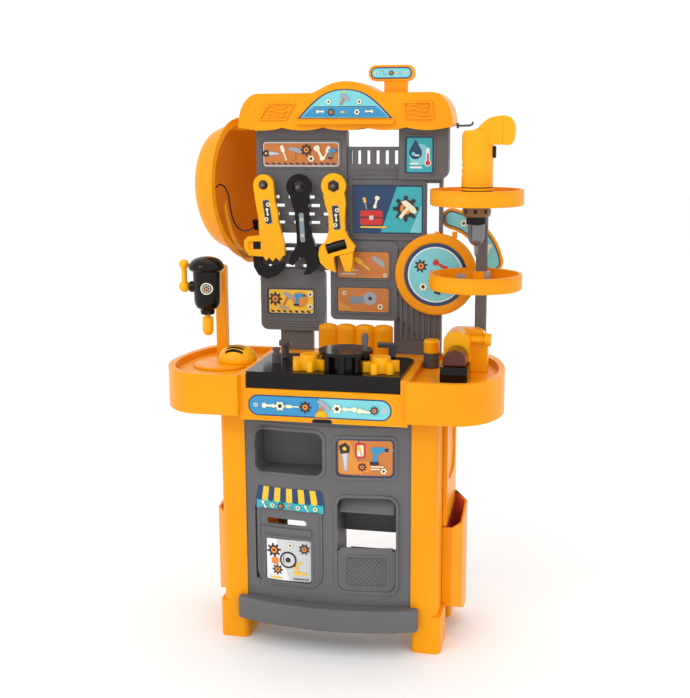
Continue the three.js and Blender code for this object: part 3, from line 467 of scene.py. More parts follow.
PICTURES = {
    "hammer": [("steel", [(-9, 3), (-6, 7), (5, 7), (9, 5), (9, 2), (5, 1), (-5, 2)]),
               ("rust", rect(-1.6, 1.6, -10, 2, 0.8))],
    "wrench": [("steel", rect(-1.7, 1.7, -7, 6, 0.6)), ("steel", arc(0, 7, 4, 130, 410)),
               ("steel", disc(0, -7.5, 3, 20))],
    "screw": [("pale", disc(0, 0, 4, 24)), ("steel", rect(-3, 3, -0.7, 0.7)),
              ("steel", rect(-0.7, 0.7, -3, 3))],
    "gear": [("dark", gear_points()), ("orange", disc(0, 0, 4.4, 24)), ("dark", disc(0, 0, 1.8, 16))],
    "saw": [("steel", [(-3.8, -11), (-0.6, -11), (3.4, 5), (-3.2, 5)]),
            ("pale", [(-2.6, -10), (-1.2, -10), (2.2, 5), (-2, 5)]),
            ("dark", [(-3.6, 4), (3.8, 4), (5, 9), (2, 13), (-4, 11)]), ("sun", disc(0.4, 8, 1.6, 14))],
    "drill": [("blue", rect(-9, 5, 2, 8, 2)), ("dark", rect(5, 9, 3.4, 6.6, 0.6)),
              ("steel", rect(9, 14, 4.4, 5.6)),
              ("blue", [(-6, 3), (-1, 3), (-3, -8), (-8, -8)]), ("dark", rect(-10, -1, -11, -7.5, 1))],
    "drop": [("navy", arc(0, -3, 6, 150, 390, 20) + [(0, 9)]), ("sky", disc(-2, -4, 1.7, 16)),
             ("cream", rect(-1, 3.6, -6, -4.8, 0.5))],
    "gauge": [("white", rect(-2, 2, -6, 9, 2)), ("white", disc(0, -7, 3.6, 24)),
              ("red", disc(0, -7, 2.6, 24)), ("red", rect(-0.9, 0.9, -7, 3))],
    "toolbox": [("dark", [rect(-5, 5, 4, 10, 2), rect(-3.4, 3.4, 4.4, 8.4, 1)]),
                ("red", rect(-11, 11, -9, 5, 2)),
                ("wine", rect(-11, 11, -2.6, -1)), ("pale", rect(-2, 2, -4, 0, 0.6))],
    "driver": [("sun", rect(-2.4, 2.4, 1, 10, 2)), ("steel", rect(-0.9, 0.9, -10, 1))],
    "tape": [("sun", rect(-7, 7, -7, 7, 3)), ("dark", disc(0, 0.5, 3.6, 24)),
             ("pale", rect(7, 12, -6, -4.4))],
    "grinder": [("slate", rect(-9, 5, -3, 3, 2)), ("steel", disc(9, 0, 5.5, 30)),
                ("dark", disc(9, 0, 1.6, 16)), ("rust", rect(-12, -9, -1.6, 1.6, 0.6))],
    "arm": [("sun", rect(-9, 9, -8, -5, 1)), ("sun", placed(rect(-1.8, 1.8, 0, 12, 1.6), -3, -6, 1, 24)),
            ("sun", placed(rect(-1.5, 1.5, 0, 10, 1.4), -7, 4, 1, -60)), ("dark", disc(-7.4, 4.4, 1.8, 16))],
    "bolt": [("cream", gear_points(6, 5, 6.4)), ("dark", disc(0, 0, 2.6, 20))],
}


def draw(kind, x, y, size=1.0, turn=0.0, recolour=None):
    layers = []
    for ink, outline in PICTURES[kind]:
        many = outline if isinstance(outline[0][0], (tuple, list)) else [outline]
        moved = [placed(one, x, y, size, turn) for one in many]
        layers.append((recolour or ink, moved))
    return layers


def stripes(x0, x1, z0, z1, count, ink, lean=0.0):
    """Slanting bars side by side, every other one printed."""
    w = (x1 - x0) / count
    return [(ink, [(x0 + w * k + lean, z0), (x0 + w * (k + 1) + lean, z0), (x0 + w * (k + 1), z1),
                   (x0 + w * k, z1)])
            for k in range(0, count, 2)]


# ---- the hat's strap ----
HAT = {"x": -184, "y": 200, "z": 722, "across": 92, "up": 120, "deep": 74, "turn": -20, "tilt": 9}
turn = math.radians(HAT["turn"])
OPENING = Vector((math.cos(turn), math.sin(turn), 0))
ALONG = Vector((-math.sin(turn), math.cos(turn), 0))
STRAP_ROUTE = (
    (-84, 728, 2), (-77, 733, 5), (-66, 728, 7), (-59, 716, 8), (-56, 702, 8), (-53, 688, 8), (-48, 675, 8),
    (-40, 664, 8), (-29, 656, 8), (-16, 652, 8), (0, 653, 8), (12, 657, 8), (26, 663, 8), (40, 672, 8),
    (56, 688, 8), (70, 706, 7), (78, 720, 5), (83, 730, 2),
)


def strap_point(s, z, off):
    spot = Vector((HAT["x"], HAT["y"], 0)) + ALONG * s + OPENING * off
    return at(spot.x, spot.y, z)


def smooth_route(points, steps):
    """A smooth line through the points."""
    row = [2 * points[0] - points[1], *points, 2 * points[-1] - points[-2]]
    line = []
    for a, b, c, d in zip(row, row[1:], row[2:], row[3:]):
        for k in range(steps):
            t = k / steps
            line.append(0.5 * (2 * b + (c - a) * t + (2 * a - 5 * b + 4 * c - d) * t**2
                               + (3 * b - a - 3 * c + d) * t**3))
    return line + [points[-1]]


def chin_strap():
    line = smooth_route([strap_point(*p) for p in STRAP_ROUTE], 3)
    data = bpy.data.curves.new("chin_strap_cord", "CURVE")
    data.dimensions = "3D"
    data.bevel_depth = 1.3 * MM
    data.bevel_resolution = 3
    spline = data.splines.new("POLY")
    spline.points.add(len(line) - 1)
    for point, spot in zip(spline.points, line):
        point.co = (*spot, 1)
    data.materials.append(FINISH["black_plastic"])
    piece = add_object("chin_strap_cord", data)
    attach(piece, "hat")
    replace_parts(piece, "chin_strap")
    slider = dress("strap_slider", 0.8)


chin_strap()


# ---- stage ----
FLOOR_HALF = 12
SKY_STRENGTH = 1.06
LAMPS = (("key", (-1.3, -2.2, 2.4), 1.2, 15), ("fill", (2.2, -1.8, 1.5), 1.8, 3),
         ("top", (0.2, 0.2, 2.8), 1.6, 5))
LAMP_AIM = Vector((0, 0, 0.5))


def make_stage():
    floor = Shader("floor", (0.95, 0.95, 0.95), 0.7).paint(vary=0.01).material
    mesh = bpy.data.meshes.new("floor")
    mesh.from_pydata([(x * FLOOR_HALF, y * FLOOR_HALF, 0) for x, y in ((-1, -1), (1, -1), (1, 1), (-1, 1))],
                     [], [(0, 1, 2, 3)])
    mesh.materials.append(floor)
    add_object("floor", mesh)
    world = bpy.data.worlds.new("studio")
    world.use_nodes = True
    world.node_tree.nodes["Background"].inputs["Color"].default_value = (1, 1, 1, 1)
    world.node_tree.nodes["Background"].inputs["Strength"].default_value = SKY_STRENGTH
    bpy.context.scene.world = world
    for name, spot, size, power in LAMPS:
        data = bpy.data.lights.new(name, "AREA")
        data.size = size
        data.energy = power
        lamp = add_object(name, data)
        aim = LAMP_AIM - Vector(spot)
        lamp.matrix_world = Matrix.Translation(spot) @ aim.to_track_quat("-Z", "Y").to_matrix().to_4x4()


make_stage()


# ---- plain pieces: the CAD shape with rounded edges ----
ROUNDED = {
    2.2: ("right_side_panel", "left_side_panel"),
    1.6: ("right_side_pocket", "left_side_pocket", "table_top", "canopy_sign"),
    1.2: ("front_panel", "storage_door", "pull_bin", "gear_deck", "left_gear", "right_gear",
          "central_gear", "left_board", "arch_sign", "press_column"),
    1.0: ("short_bolt", "long_bolt", "angle_key", "sander_base", "tray_post", "drill_trigger", "cabinet_back",
          "pipe_wrench_hook_jaw", "open_end_wrench", "adjustable_wrench", "pipe_wrench", "adjustable_jaw"),
    0.4: ("door_hinge_pin", "crank_knob", "right_hook", "left_hook", "loose_nut_1", "loose_screw",
          "adjusting_knurl", "sander_knob"),
    0.0: ("right_board",),
    3.0: ("sander_housing", "sander_belt"),
    4.0: ("plinth_shelf",),
}
for width, names in ROUNDED.items():
    for node in names:
        dress(node, width, 3 if width > 1 else 2)


# ---- turned pieces ----
DRILL_X, DRILL_Y = 220, 80
PRESS_X, PRESS_Y = -209, 57
turned("peg_screw_shank", ["peg_screw_body"], 148, 118,
       [(0, 428), (8, 428), (8, 443), (13, 443), (13, 466), (0, 466)])
turned("peg_screw_cap", ["peg_screw_head"], 148, 118,
       [(0, 466.3), (12, 466.3), (13, 469), (13, 485), (11, 488), (0, 488)])
turned("press_plunger_rod", ["press_plunger"], PRESS_X, PRESS_Y,
       [(0, 494), (4, 494.6), (7, 497), (9, 502), (9, 524), (5, 524), (5, 588), (0, 588)])


def press_head(bm):
    lathe(bm, PRESS_X, PRESS_Y, [
        (0, 529), (11, 529), (12, 537), (17, 540), (20, 546), (21, 552), (21.3, 570), (22, 599), (26, 600),
        (29, 604), (28, 609), (25, 614), (20, 618), (14, 620.6), (8, 622), (0, 622.5)])
    lathe(bm, PRESS_Y, 573, [(0, -237), (9, -237), (9, -225), (0, -225)], 40, "x")


solid("press_head_body", press_head, ["press_head"], bevel=0.8)
label("press_badge", "bench", [
    ("cream", disc(PRESS_X + 6, 573, 9.4)), ("dark", disc(PRESS_X + 6, 573, 7.6)),
    ("pale", disc(PRESS_X + 6, 573, 6)), *draw("gear", PRESS_X + 6, 573, 0.56),
], lambda u, v, height: at(u, PRESS_Y - math.sqrt(21.7 ** 2 - (u - PRESS_X) ** 2) - height, v), 2)


def press_crank(bm):
    for z, radius in ((573, 9.3), (609, 8)):
        made = bmesh.ops.create_uvsphere(bm, u_segments=32, v_segments=20, radius=radius * MM)["verts"]
        bmesh.ops.translate(bm, verts=made, vec=at(-247, PRESS_Y, z))
    lathe(bm, -247, PRESS_Y, [(0, 573), (4.5, 573), (4.5, 609), (0, 609)], 32)
    lathe(bm, PRESS_Y, 573, [(0, -247), (3, -247), (3, -221), (0, -221)], 24, "x")


solid("press_crank_arm", press_crank, ["press_crank"], bevel=0)
DOME_X, DOME_Y, DOME_WIDE = -168, 82, 1.1


def widened(made):
    """The dome is a little wider than it is deep."""
    centre = at(DOME_X, DOME_Y, 0)
    for v in made:
        v.co.x = centre.x + (v.co.x - centre.x) * DOME_WIDE


def press_base(bm):
    lathe(bm, -192, 70, [(0, 442.3), (46, 442.3), (46, 445), (44, 447), (0, 447)], 96)
    foot = [(0, 442.5), (29.5, 442.5), (29.5, 445.6), (28, 446.8), (0, 446.8)]
    widened(lathe(bm, DOME_X, DOME_Y, foot, 96))


DOME = [(0, 447.3), (28.6, 447.3), (29, 448), (29, 451), (28.8, 454), (28, 457), (26.8, 460.4), (25, 463.6),
        (22.4, 467), (19, 469.8), (14.6, 472.2), (10, 473.6), (5, 474.3), (0, 474.5)]


def press_dome(bm):
    widened(lathe(bm, DOME_X, DOME_Y, DOME, 96))


solid("press_base_plate", press_base, ["press_base"], bevel=0.5)
solid("press_dome_cap", press_dome, ["press_dome"], bevel=0)


def dome_height(x, y):
    reach = math.hypot((x - DOME_X) / DOME_WIDE, y - DOME_Y)
    for (inner, high), (outer, low) in zip(DOME[:2:-1], DOME[-2:2:-1]):
        if inner <= reach <= outer:
            return high + (low - high) * (reach - inner) / (outer - inner)
    return DOME[3][1]


def dome_slots(bm):
    """Three black strips that follow the top of the dome: painted shade, standing in for the shade inside its
    slots.
    """
    for y in (62, 68.5, 75.5):
        rows = []
        for k in range(17):
            x = DOME_X - 15 + 30 * k / 16
            half = 2.2 * math.sin(math.pi * (0.08 + 0.84 * k / 16)) ** 0.4
            rows.append([bm.verts.new(at(x, y + side, dome_height(x, y + side) + lift))
                         for side, lift in ((-half, -0.3), (-half, 0.5), (half, 0.5), (half, -0.3))])
        for low, high in zip(rows, rows[1:]):
            web(bm, low, high)


trim("press_dome_slot_shade", dome_slots, "black_plastic", 0)


def backsplash(bm):
    """Four upright lobes side by side, rolled back at the top."""
    lobes, steps, rows = 4, 14, 22
    columns = lobes * steps
    front = []
    for row in range(rows + 1):
        line = []
        for column in range(columns + 1):
            swell = math.sin(math.pi * (column % steps) / steps) ** 0.55
            rise = row / rows
            roll = max(0, (rise - 0.55) / 0.45)
            x = -49 + 126 * column / columns
            z = 452.3 + (49.2 - 4.5 * (1 - swell)) * math.sin(rise * math.pi / 2) ** 0.9
            y = 151.2 + 7 * (1 - swell) + (11.6 - 7 * (1 - swell)) * roll ** 2.2
            line.append(bm.verts.new(at(x, y, z)))
        front.append(line)
    back = [[bm.verts.new((v.co.x, at(0, 163.6, 0).y, v.co.z)) for v in line] for line in front]
    for sheet in (front, back):
        for low, high in zip(sheet, sheet[1:]):
            web(bm, low, high)
    rim = [(front[0], back[0]), (front[-1], back[-1]), ([r[0] for r in front], [r[0] for r in back]),
           ([r[-1] for r in front], [r[-1] for r in back])]
    for near, far in rim:
        web(bm, near, far)


solid("backsplash_lobes", backsplash, ["backsplash"], bevel=0)


# ---- painted shade: the pockets' inward faces are coloured redder than the outsides, standing in for the shade inside the pockets ----
POCKET_MIDDLE = (192, 122, 120)
POCKET_HEIGHTS = (0.055, 0.195)
for side, node in ((1, "right_side_pocket"), (-1, "left_side_pocket")):
    mesh = bpy.data.objects[node + "_skin"].data
    mesh.materials.append(POCKET_SHADE)
    middle = at(side * POCKET_MIDDLE[0], *POCKET_MIDDLE[1:])
    for polygon in mesh.polygons:
        inward = polygon.normal.dot(polygon.center - middle) < 0
        if inward and POCKET_HEIGHTS[0] < polygon.center.z < POCKET_HEIGHTS[1]:
            polygon.material_index = 1


# ---- trays, which share the drill's upright line ----
POST_X, POST_Y = 225, 128
TRAY_RADIUS, TRAY_DEPTH = 71.6, 24


def tray(name, node, top, hole):
    low, r = top - TRAY_DEPTH, TRAY_RADIUS
    bm = bmesh.new()
    outline = [(0, low), (r - 2, low), (r - 0.5, low + 1), (r, low + 3), (r, top), (r - 5, top),
               (r - 5, low + 3), (0, low + 3)]
    lathe(bm, DRILL_X, DRILL_Y, outline, 96)
    cup = link(name, mesh_from(name, bm), FINISH["yellow_plastic"], "bench", 0.9, 2)
    opening, through = bmesh.new(), bmesh.new()
    lathe(opening, DRILL_X, DRILL_Y, [(0, low - 1), (hole, low - 1), (hole, low + 5), (0, low + 5)], 64)
    block(through, POST_X - 9.3, POST_X + 9.3, POST_Y - 7.3, POST_Y + 7.3, low - 5, top + 5)
    carve(cup, [opening, through])
    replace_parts(cup, node)

    def socket(mesh):
        for x0, x1, y0, y1 in ((-12.3, 12.3, 7.3, 10.3), (-12.3, 12.3, -10.3, -7.3), (-12.3, -9.3, -7.3, 7.3),
                               (9.3, 12.3, -7.3, 7.3)):
            block(mesh, POST_X + x0, POST_X + x1, POST_Y + y0, POST_Y + y1, low, top - 2)

    trim(name + "_socket", socket, "yellow_plastic", 0.5)


tray("upper_tray_cup", "upper_tray", 731, 22.5)
tray("lower_tray_cup", "lower_tray", 602, 4)


# ---- drill ----
def drill_grip(bm):
    grip = curve([(200, 790), (203, 812), (212, 819)], (218, 821), (222, 824), steps=6)
    grip = curve(grip, (228, 831), (234, 835), steps=6)
    grip = curve(grip, (240, 840), (257.7, 841), steps=8)
    board(bm, [grip + [(257.7, 798), (240, 798), (226, 799)]], 64, 96)


body = turned("drill_barrel", ["drill_body"], DRILL_X, DRILL_Y,
              [(0, 710.3), (23.5, 710.3), (24, 716), (24, 812), (22.8, 816), (20, 819), (12, 820), (0, 820)])
carve(body, [slit(190, 200, 71, 89, 752 + 9 * i, 756 + 9 * i) for i in range(3)])
trim("drill_grip", drill_grip, "lemon_plastic", 6, 5, body="drill")


cap_edge = curve([(258, 798), (266, 797)], (274, 798), (276, 806), (276.4, 818))
cap_edge = curve(cap_edge, (276.5, 832), (270, 841), (258, 841))
solid("drill_cap", lambda bm: board(bm, [cap_edge], 64, 96), ["drill_end_cap"], bevel=5.5, steps=5)
for level in (728, 733):
    turned(f"drill_band_{level}", [], DRILL_X, DRILL_Y,
           [(0, level), (24.25, level), (24.25, level + 2), (0, level + 2)],
           body="drill", finish=FINISH["black_plastic"])
turned("drill_collar_ring", ["drill_collar"], DRILL_X, DRILL_Y,
       [(0, 689), (19, 689), (21.5, 692), (21.5, 710), (8.6, 710), (8.6, 724), (0, 724)],
       finish=plastic("bronze_plastic", (0.2, 0.1, 0.035), 0.3, coat=0.1, grain=400, shine=0.3))


def notches(bm):
    for k in range(8):
        made = block(bm, DRILL_X + 19.5, DRILL_X + 21.8, DRILL_Y - 2.5, DRILL_Y + 2.5, 695, 701)
        spin = Matrix.Rotation(math.radians(45 * k), 4, "Z")
        centre = at(DRILL_X, DRILL_Y, 0)
        for v in made:
            v.co = centre + spin @ (v.co - centre)


# painted shade: small black blocks on the collar stand in for the shade inside its holes
trim("collar_hole_shade", notches, "black_plastic", 0.3, body="drill_collar")
chuck = turned("drill_chuck_jaws", ["drill_chuck"], DRILL_X, DRILL_Y,
               [(0, 627), (2.4, 632), (3, 645), (6, 646), (9, 649), (11.5, 653), (13, 660), (13, 677),
                (15.5, 678.5), (15.5, 688.4), (5, 688.4), (5, 706), (0, 706)],
               finish=plastic("chuck_metal", (0.2, 0.195, 0.205), 0.28, metallic=0.6, grain=600))
turned("chuck_ring", [], DRILL_X, DRILL_Y, [(0, 678), (15.9, 678), (15.9, 688.6), (0, 688.6)],
       body="drill_chuck", finish=FINISH["black_plastic"])


def chuck_slot(angle):
    bm = slit(DRILL_X + 10.5, DRILL_X + 20, DRILL_Y - 1.6, DRILL_Y + 1.6, 640, 676)
    bmesh.ops.rotate(bm, verts=bm.verts, cent=at(DRILL_X, DRILL_Y, 0), matrix=Matrix.Rotation(angle, 3, "Z"))
    return bm


carve(chuck, [chuck_slot(math.radians(120 * k)) for k in range(3)])


# ---- ring sign ----
SIGN_X, SIGN_Z = 148, 588
SIGN_FACE, ARCH_FACE = 156, 183.3
ARCH_RADIUS = 92


def ring(bm):
    outline = [(0, 163.7), (67, 163.7), (67, 157), (65.5, 154.6), (63, 154), (55, 154), (52.5, 155),
               (52, 156), (0, 156)]
    lathe(bm, SIGN_X, SIGN_Z, outline, 96, "y")
    for k in (-1, 1):
        block(bm, SIGN_X + 12 + 14 * k, SIGN_X + 20 + 14 * k, 157, 163, SIGN_Z + 60, SIGN_Z + 70)


solid("ring_sign_frame", ring, ["ring_sign"], bevel=0.8)
label("ring_print", "bench", [
    ("navy", disc(SIGN_X, SIGN_Z, 51.5, 72)), ("white", disc(SIGN_X, SIGN_Z, 45.5, 72)),
    ("sky", disc(SIGN_X, SIGN_Z, 43.5, 72)),
    *draw("gear", SIGN_X - 24, SIGN_Z + 14, 1.1, 12), *draw("drill", SIGN_X + 12, SIGN_Z - 20, 1.2, -12),
    *draw("wrench", SIGN_X + 8, SIGN_Z + 16, 1.3, 60, "red"), *draw("bolt", SIGN_X - 20, SIGN_Z - 20, 1.1),
    *draw("hammer", SIGN_X - 4, SIGN_Z - 2, 1.2, -35),
], facing(SIGN_FACE))


def on_arch(angle):
    """A point on the middle line of the arch."""
    return SIGN_X + ARCH_RADIUS * math.cos(angle), SIGN_Z + ARCH_RADIUS * math.sin(angle)


def arch_outline(half):
    """A band with round ends along the arch."""
    low, high = 12, 76
    points = arc(SIGN_X, SIGN_Z, ARCH_RADIUS + half, low, high, 30)
    points += arc(*on_arch(math.radians(high)), half, high, high + 180, 14)[1:]
    points += arc(SIGN_X, SIGN_Z, ARCH_RADIUS - half, high, low, 30)[1:]
    return points + arc(*on_arch(math.radians(low)), half, low + 180, low + 360, 14)[1:-1]


label("arch_print", "bench", [
    ("navy", arch_outline(12.5)), ("sky", arch_outline(10.5)), *draw("bolt", *on_arch(1.1), 0.9),
    *draw("hammer", *on_arch(0.75), 0.9, -40), *draw("wrench", *on_arch(0.45), 0.9, -20, "cream"),
], facing(ARCH_FACE))


# ---- hard hat ----
HAT_AXES = Matrix((-ALONG, Vector((0, 0, 1)), -OPENING)).transposed().to_4x4()
HAT_FRAME = (Matrix.Translation(at(HAT["x"], HAT["y"], HAT["z"])) @ HAT_AXES
             @ Matrix.Rotation(math.radians(-HAT["tilt"]), 4, "Z"))
HAT_SIDES = 96


def hat_shell(bm, profile):
    rings = []
    for radius, depth in profile:
        if radius < 0.01:
            rings.append([bm.verts.new((0, 0, depth * MM))])
        else:
            rings.append([bm.verts.new((HAT["across"] / 100 * radius * math.cos(a) * MM,
                                        HAT["up"] / 100 * radius * math.sin(a) * MM, depth * MM))
                          for a in (2 * math.pi * k / HAT_SIDES for k in range(HAT_SIDES))])
    bridge(bm, rings, HAT_SIDES)
    for v in bm.verts:
        v.co = HAT_FRAME @ v.co


def smoothed(profile):
    points = [Vector((r, z, 0)) for r, z in profile]
    return [(max(p.x, 0), p.y) for p in smooth_route(points, 4)]


def hook_hole():
    bm = bmesh.new()
    lathe(bm, 190, 827, [(0, -215), (7, -215), (7, -178), (0, -178)], 32, "x")
    return bm


deep = HAT["deep"]
outer = smoothed([(0, deep - 0.4), (34, deep - 3.4), (62, deep - 12.4), (82, deep - 28), (90.4, 14),
                  (91.6, 5)])
inner = smoothed([(0, deep - 3), (32, deep - 6), (59, deep - 15), (78, deep - 29), (87, 14), (89, 2)])
out_mesh = bmesh.new()
hat_shell(out_mesh, outer + [(92, 3), (99.4, 3), (99.8, 1.6), (99.4, 0.2), (90, 0.2), (89.4, 0.8)])
shell = link("hat_outside", mesh_from("hat_outside", out_mesh), FINISH["yellow_plastic"], "hat")
# painted shade: the hat's inside face takes the darker orange copy of the yellow
in_mesh = bmesh.new()
hat_shell(in_mesh, inner)
link("hat_inside_face", mesh_from("hat_inside_face", in_mesh), HAT_INSIDE_SHADE, "hat")
carve(shell, [hook_hole()])
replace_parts(shell, "hard_hat")


def hat_local(bm):
    for v in bm.verts:
        v.co = HAT_FRAME @ (v.co * MM)


def hat_peak(bm):
    def edge(cy, rx, ry):
        return [(rx * math.cos(a), cy + ry * math.sin(a))
                for a in (math.pi + math.pi * k / 40 for k in range(41))]

    outline = edge(-16, 62, 112) + list(reversed(edge(-10, 56, 100)))
    top = extruded(bm, fill(bm, [outline], lambda u, v: Vector((u, v, 0.2))))
    bmesh.ops.translate(bm, verts=top, vec=(0, 0, 2.7))
    hat_local(bm)


trim("hat_peak", hat_peak, "yellow_plastic", 0.6, body="hat")


# ---- canopy ----
HALF, TOP_HALF, FRONT, BACK, BOTTOM, TOP, CROWN = 175, 149, 136, 206, 820, 878, 896


def canopy_outline(inset):
    h, t, top, dome = HALF - inset, TOP_HALF - inset, TOP - inset, CROWN - inset
    line = [(-h, BOTTOM + 4)]
    width = (2 * h - 12) / 5
    drop = 11 if inset else 5
    for k in range(5):
        x = -h + 6 + width * k
        line.append((x, BOTTOM + 4))
        line = curve(line, (x + width / 2, BOTTOM - drop), (x + width, BOTTOM + 4), steps=10)
    line.append((h, BOTTOM + 6))
    line = curve(line, (h, top - 18), (t + 8, top), (t - 8, top), steps=16)
    line = curve(line + [(60, top)], (42, top + 6), (32, dome), (4, dome), steps=16)
    line = curve(line, (-24, dome), (-34, top + 6), (-52, top), steps=16)
    line = curve(line + [(-t + 8, top)], (-t - 8, top), (-h, top - 18), (-h, BOTTOM + 4.5), steps=16)
    return line


FACE = curve([(-76, 838), (80, 838)], (52, 868), (36, 884), (2, 884), steps=20)
FACE = curve(FACE, (-32, 884), (-48, 868), (-76, 838), steps=20)[:-1]


def plate_tool(outline, y0, y1):
    bm = bmesh.new()
    board(bm, [outline], y0, y1)
    return bm


canopy = solid("canopy_shell", lambda bm: board(bm, [canopy_outline(0)], FRONT, BACK), ["canopy"],
               bevel=3.2, steps=4)
carve(canopy, [plate_tool(canopy_outline(4), FRONT + 4, BACK - 4), plate_tool(FACE, FRONT - 3, FRONT + 1.2),
               slit(-165, 165, FRONT + 4, BACK - 4, 800, 832)])
trim("canopy_ledge", lambda bm: board(bm, [rect(-78, 83, 829, 835, 2.5)], FRONT - 8, FRONT + 3),
     "yellow_plastic", 1.4, 3)


def scaled(points, k):
    """An outline drawn in towards the middle of the canopy's face."""
    cx, cy = 2, 858
    return [(cx + (x - cx) * k, cy + (y - cy) * k) for x, y in points]


label("canopy_print", "bench", [
    ("navy", scaled(FACE, 0.985)), ("sky", scaled(FACE, 0.93)),
    ("blue", scaled([(-70, 840), (74, 840), (58, 855), (-54, 855)], 0.97)),
    ("navy", rect(-50, 54, 855.6, 857)),
    *draw("wrench", -38, 849, 0.62, 90, "cream"), *draw("gear", -20, 848, 0.62),
    *draw("driver", 2, 848, 0.62, 90),
    *draw("bolt", 22, 848, 0.75), *draw("wrench", 42, 849, 0.62, -90, "cream"),
    *draw("hammer", 0, 868, 1.0, -30), *draw("bolt", -24, 864, 0.7), *draw("bolt", 26, 864, 0.7),
    ("sun", disc(2, 879, 2.2, 16)),
], facing(FRONT + 1.2))


def canopy_emblem(name, x, lean):
    def build(bm):
        rim = [(x - 26 + lean, 836), (x + 20 + lean, 836), (x + 26 - lean, 863), (x - 20 - lean, 863)]
        mid = (sum(p[0] for p in rim) / 4, sum(p[1] for p in rim) / 4)
        board(bm, [rim, [(mid[0] + (u - mid[0]) * 0.88, mid[1] + (v - mid[1]) * 0.82) for u, v in rim]],
              FRONT - 3, FRONT + 1)
        for k in range(3):
            wave = [(x - 16 + 32 * s / 20, 843 + 6.5 * k + 2 * math.sin(2 * math.pi * s / 20))
                    for s in range(21)]
            board(bm, [wave + [(u, v + 2.4) for u, v in reversed(wave)]], FRONT - 2.8, FRONT + 1)

    trim(name, build, "yellow_plastic", 0.5)


canopy_emblem("canopy_emblem_left", -109, -5)
canopy_emblem("canopy_emblem_right", 121, 5)
label("top_sign_print", "bench", [
    ("navy", rect(41, 107, 899.5, 917.5, 8.9)), ("sky", rect(43, 105, 901.5, 915.5, 6.9)),
    *[layer for k, kind in enumerate(("bolt", "wrench", "gear", "driver", "bolt"))
      for layer in draw(kind, 50 + 12 * k, 908.5, 0.45, 30 * k)],
], facing(SIGN_FACE))


# ---- labels on the tool board ----
LEFT_PANEL, RIGHT_PANEL, RECESS = 165, 161, 166
BOARD_LABELS = {
    "tools": ((-142, -13, 761, 801), LEFT_PANEL, "pale", "rust", 5, [
        *stripes(-139, -16, 764, 767.5, 24, "navy", 3),
        *draw("saw", -127, 783, 1.2, 96), *draw("driver", -106, 783, 1.3, 20, "cream"),
        *draw("hammer", -88, 783, 1.3, -12), *draw("gear", -68, 788, 0.95), *draw("bolt", -60, 774, 0.9),
        *draw("wrench", -46, 783, 1.3, 28, "cream"),
        *draw("driver", -34, 783, 1.2, -24, "cream"), *draw("drill", -23, 783, 0.85),
    ]),
    "parts": ((-138, -57, 514, 558), LEFT_PANEL, "navy", "sun", 5, [
        *stripes(-134, -61, 517, 521, 14, "dark", 3), *draw("gear", -125, 540, 1.2),
        *draw("hammer", -104, 541, 1.3, -30), ("amber", disc(-82, 540, 13, 30)),
        *draw("drill", -82, 541, 1.1), *draw("bolt", -64, 549, 0.8), *draw("bolt", -64, 528, 0.8),
        *draw("wrench", -110, 526, 0.8, 80),
    ]),
    "weather": ((97, 142, 751, 809), RIGHT_PANEL, "navy", "teal", 4, [
        ("sky", disc(119, 781, 17, 40)), *draw("drop", 113, 789, 1.75), *draw("gauge", 133, 778, 1.5),
        ("white", rect(104, 124, 759, 762, 1)), ("white", rect(104, 118, 765, 768, 1)),
    ]),
    "toolbox": ((9, 125, 653, 731), RECESS, "navy", "navy", 4, [
        ("teal", [(56, 655), (123, 655), (123, 729), (82, 729)]),
        ("sky", [(104, 655), (123, 655), (123, 700)]),
        *draw("toolbox", 40, 682, 1.7), *draw("driver", 30, 702, 1.0, 14),
        *draw("wrench", 48, 704, 1.0, -16, "cream"),
        *draw("gear", 97, 694, 2.1), *draw("hammer", 98, 692, 1.7, -38, "cream"),
        ("sun", rect(22, 66, 662, 664.6, 1)),
    ]),
    "saws": ((-17, 69, 579, 622), RECESS, "amber", "rust", 4, [
        *draw("tape", 2, 598, 1.25), *draw("driver", 25, 602, 1.6, 52, "sun"),
        *draw("hammer", 48, 602, 1.5, -34),
        ("pale", rect(-12, 14, 584, 586.4, 1)), *draw("bolt", 63, 584, 0.5),
    ]),
    "grinder": ((-17, 69, 522, 562), RECESS, "amber", "rust", 4, [
        *draw("grinder", 20, 542, 2.0, 8), *draw("bolt", 55, 531, 0.8), *draw("bolt", -6, 553, 0.6),
        ("amber", [(-15, 524), (12, 524), (-15, 540)]),
    ]),
}

for name, ((x0, x1, z0, z1), face, rim, ground, r, pictures) in BOARD_LABELS.items():
    framed = [(rim, rect(x0, x1, z0, z1, r)), (ground, rect(x0 + 2, x1 - 2, z0 + 2, z1 - 2, r - 1.6))]
    label("board_label_" + name, "bench", framed + pictures, facing(face))
for name, ((x0, x1, z0, z1), face, _, _, r, _) in BOARD_LABELS.items():
    rims = [rect(x0 - 4, x1 + 4, z0 - 4, z1 + 4, r + 2), rect(x0 - 1, x1 + 1, z0 - 1, z1 + 1, r - 1)]
    trim("rim_" + name, lambda bm: board(bm, rims, face - 3.4, face - 1), "grey_plastic", 0.7)


def board_ribs(bm):
    """The ribs beside and under the labels."""
    for k in range(7):
        block(bm, 88 + 9.4 * k, 92 + 9.4 * k, 164.5, 168, 478, 632)
    for k in range(3):
        block(bm, -140, -50, 162, 164, 493 + 4.6 * k, 495.4 + 4.6 * k)
    for k in range(3):
        block(bm, 8, 88, 165.6, 168, 741 + 7 * k, 744 + 7 * k)
    for k in range(4):
        block(bm, -146, -122, 165.4, 168, 598 + 13 * k, 602 + 13 * k)


trim("board_ribs", board_ribs, "grey_plastic", 0.8)


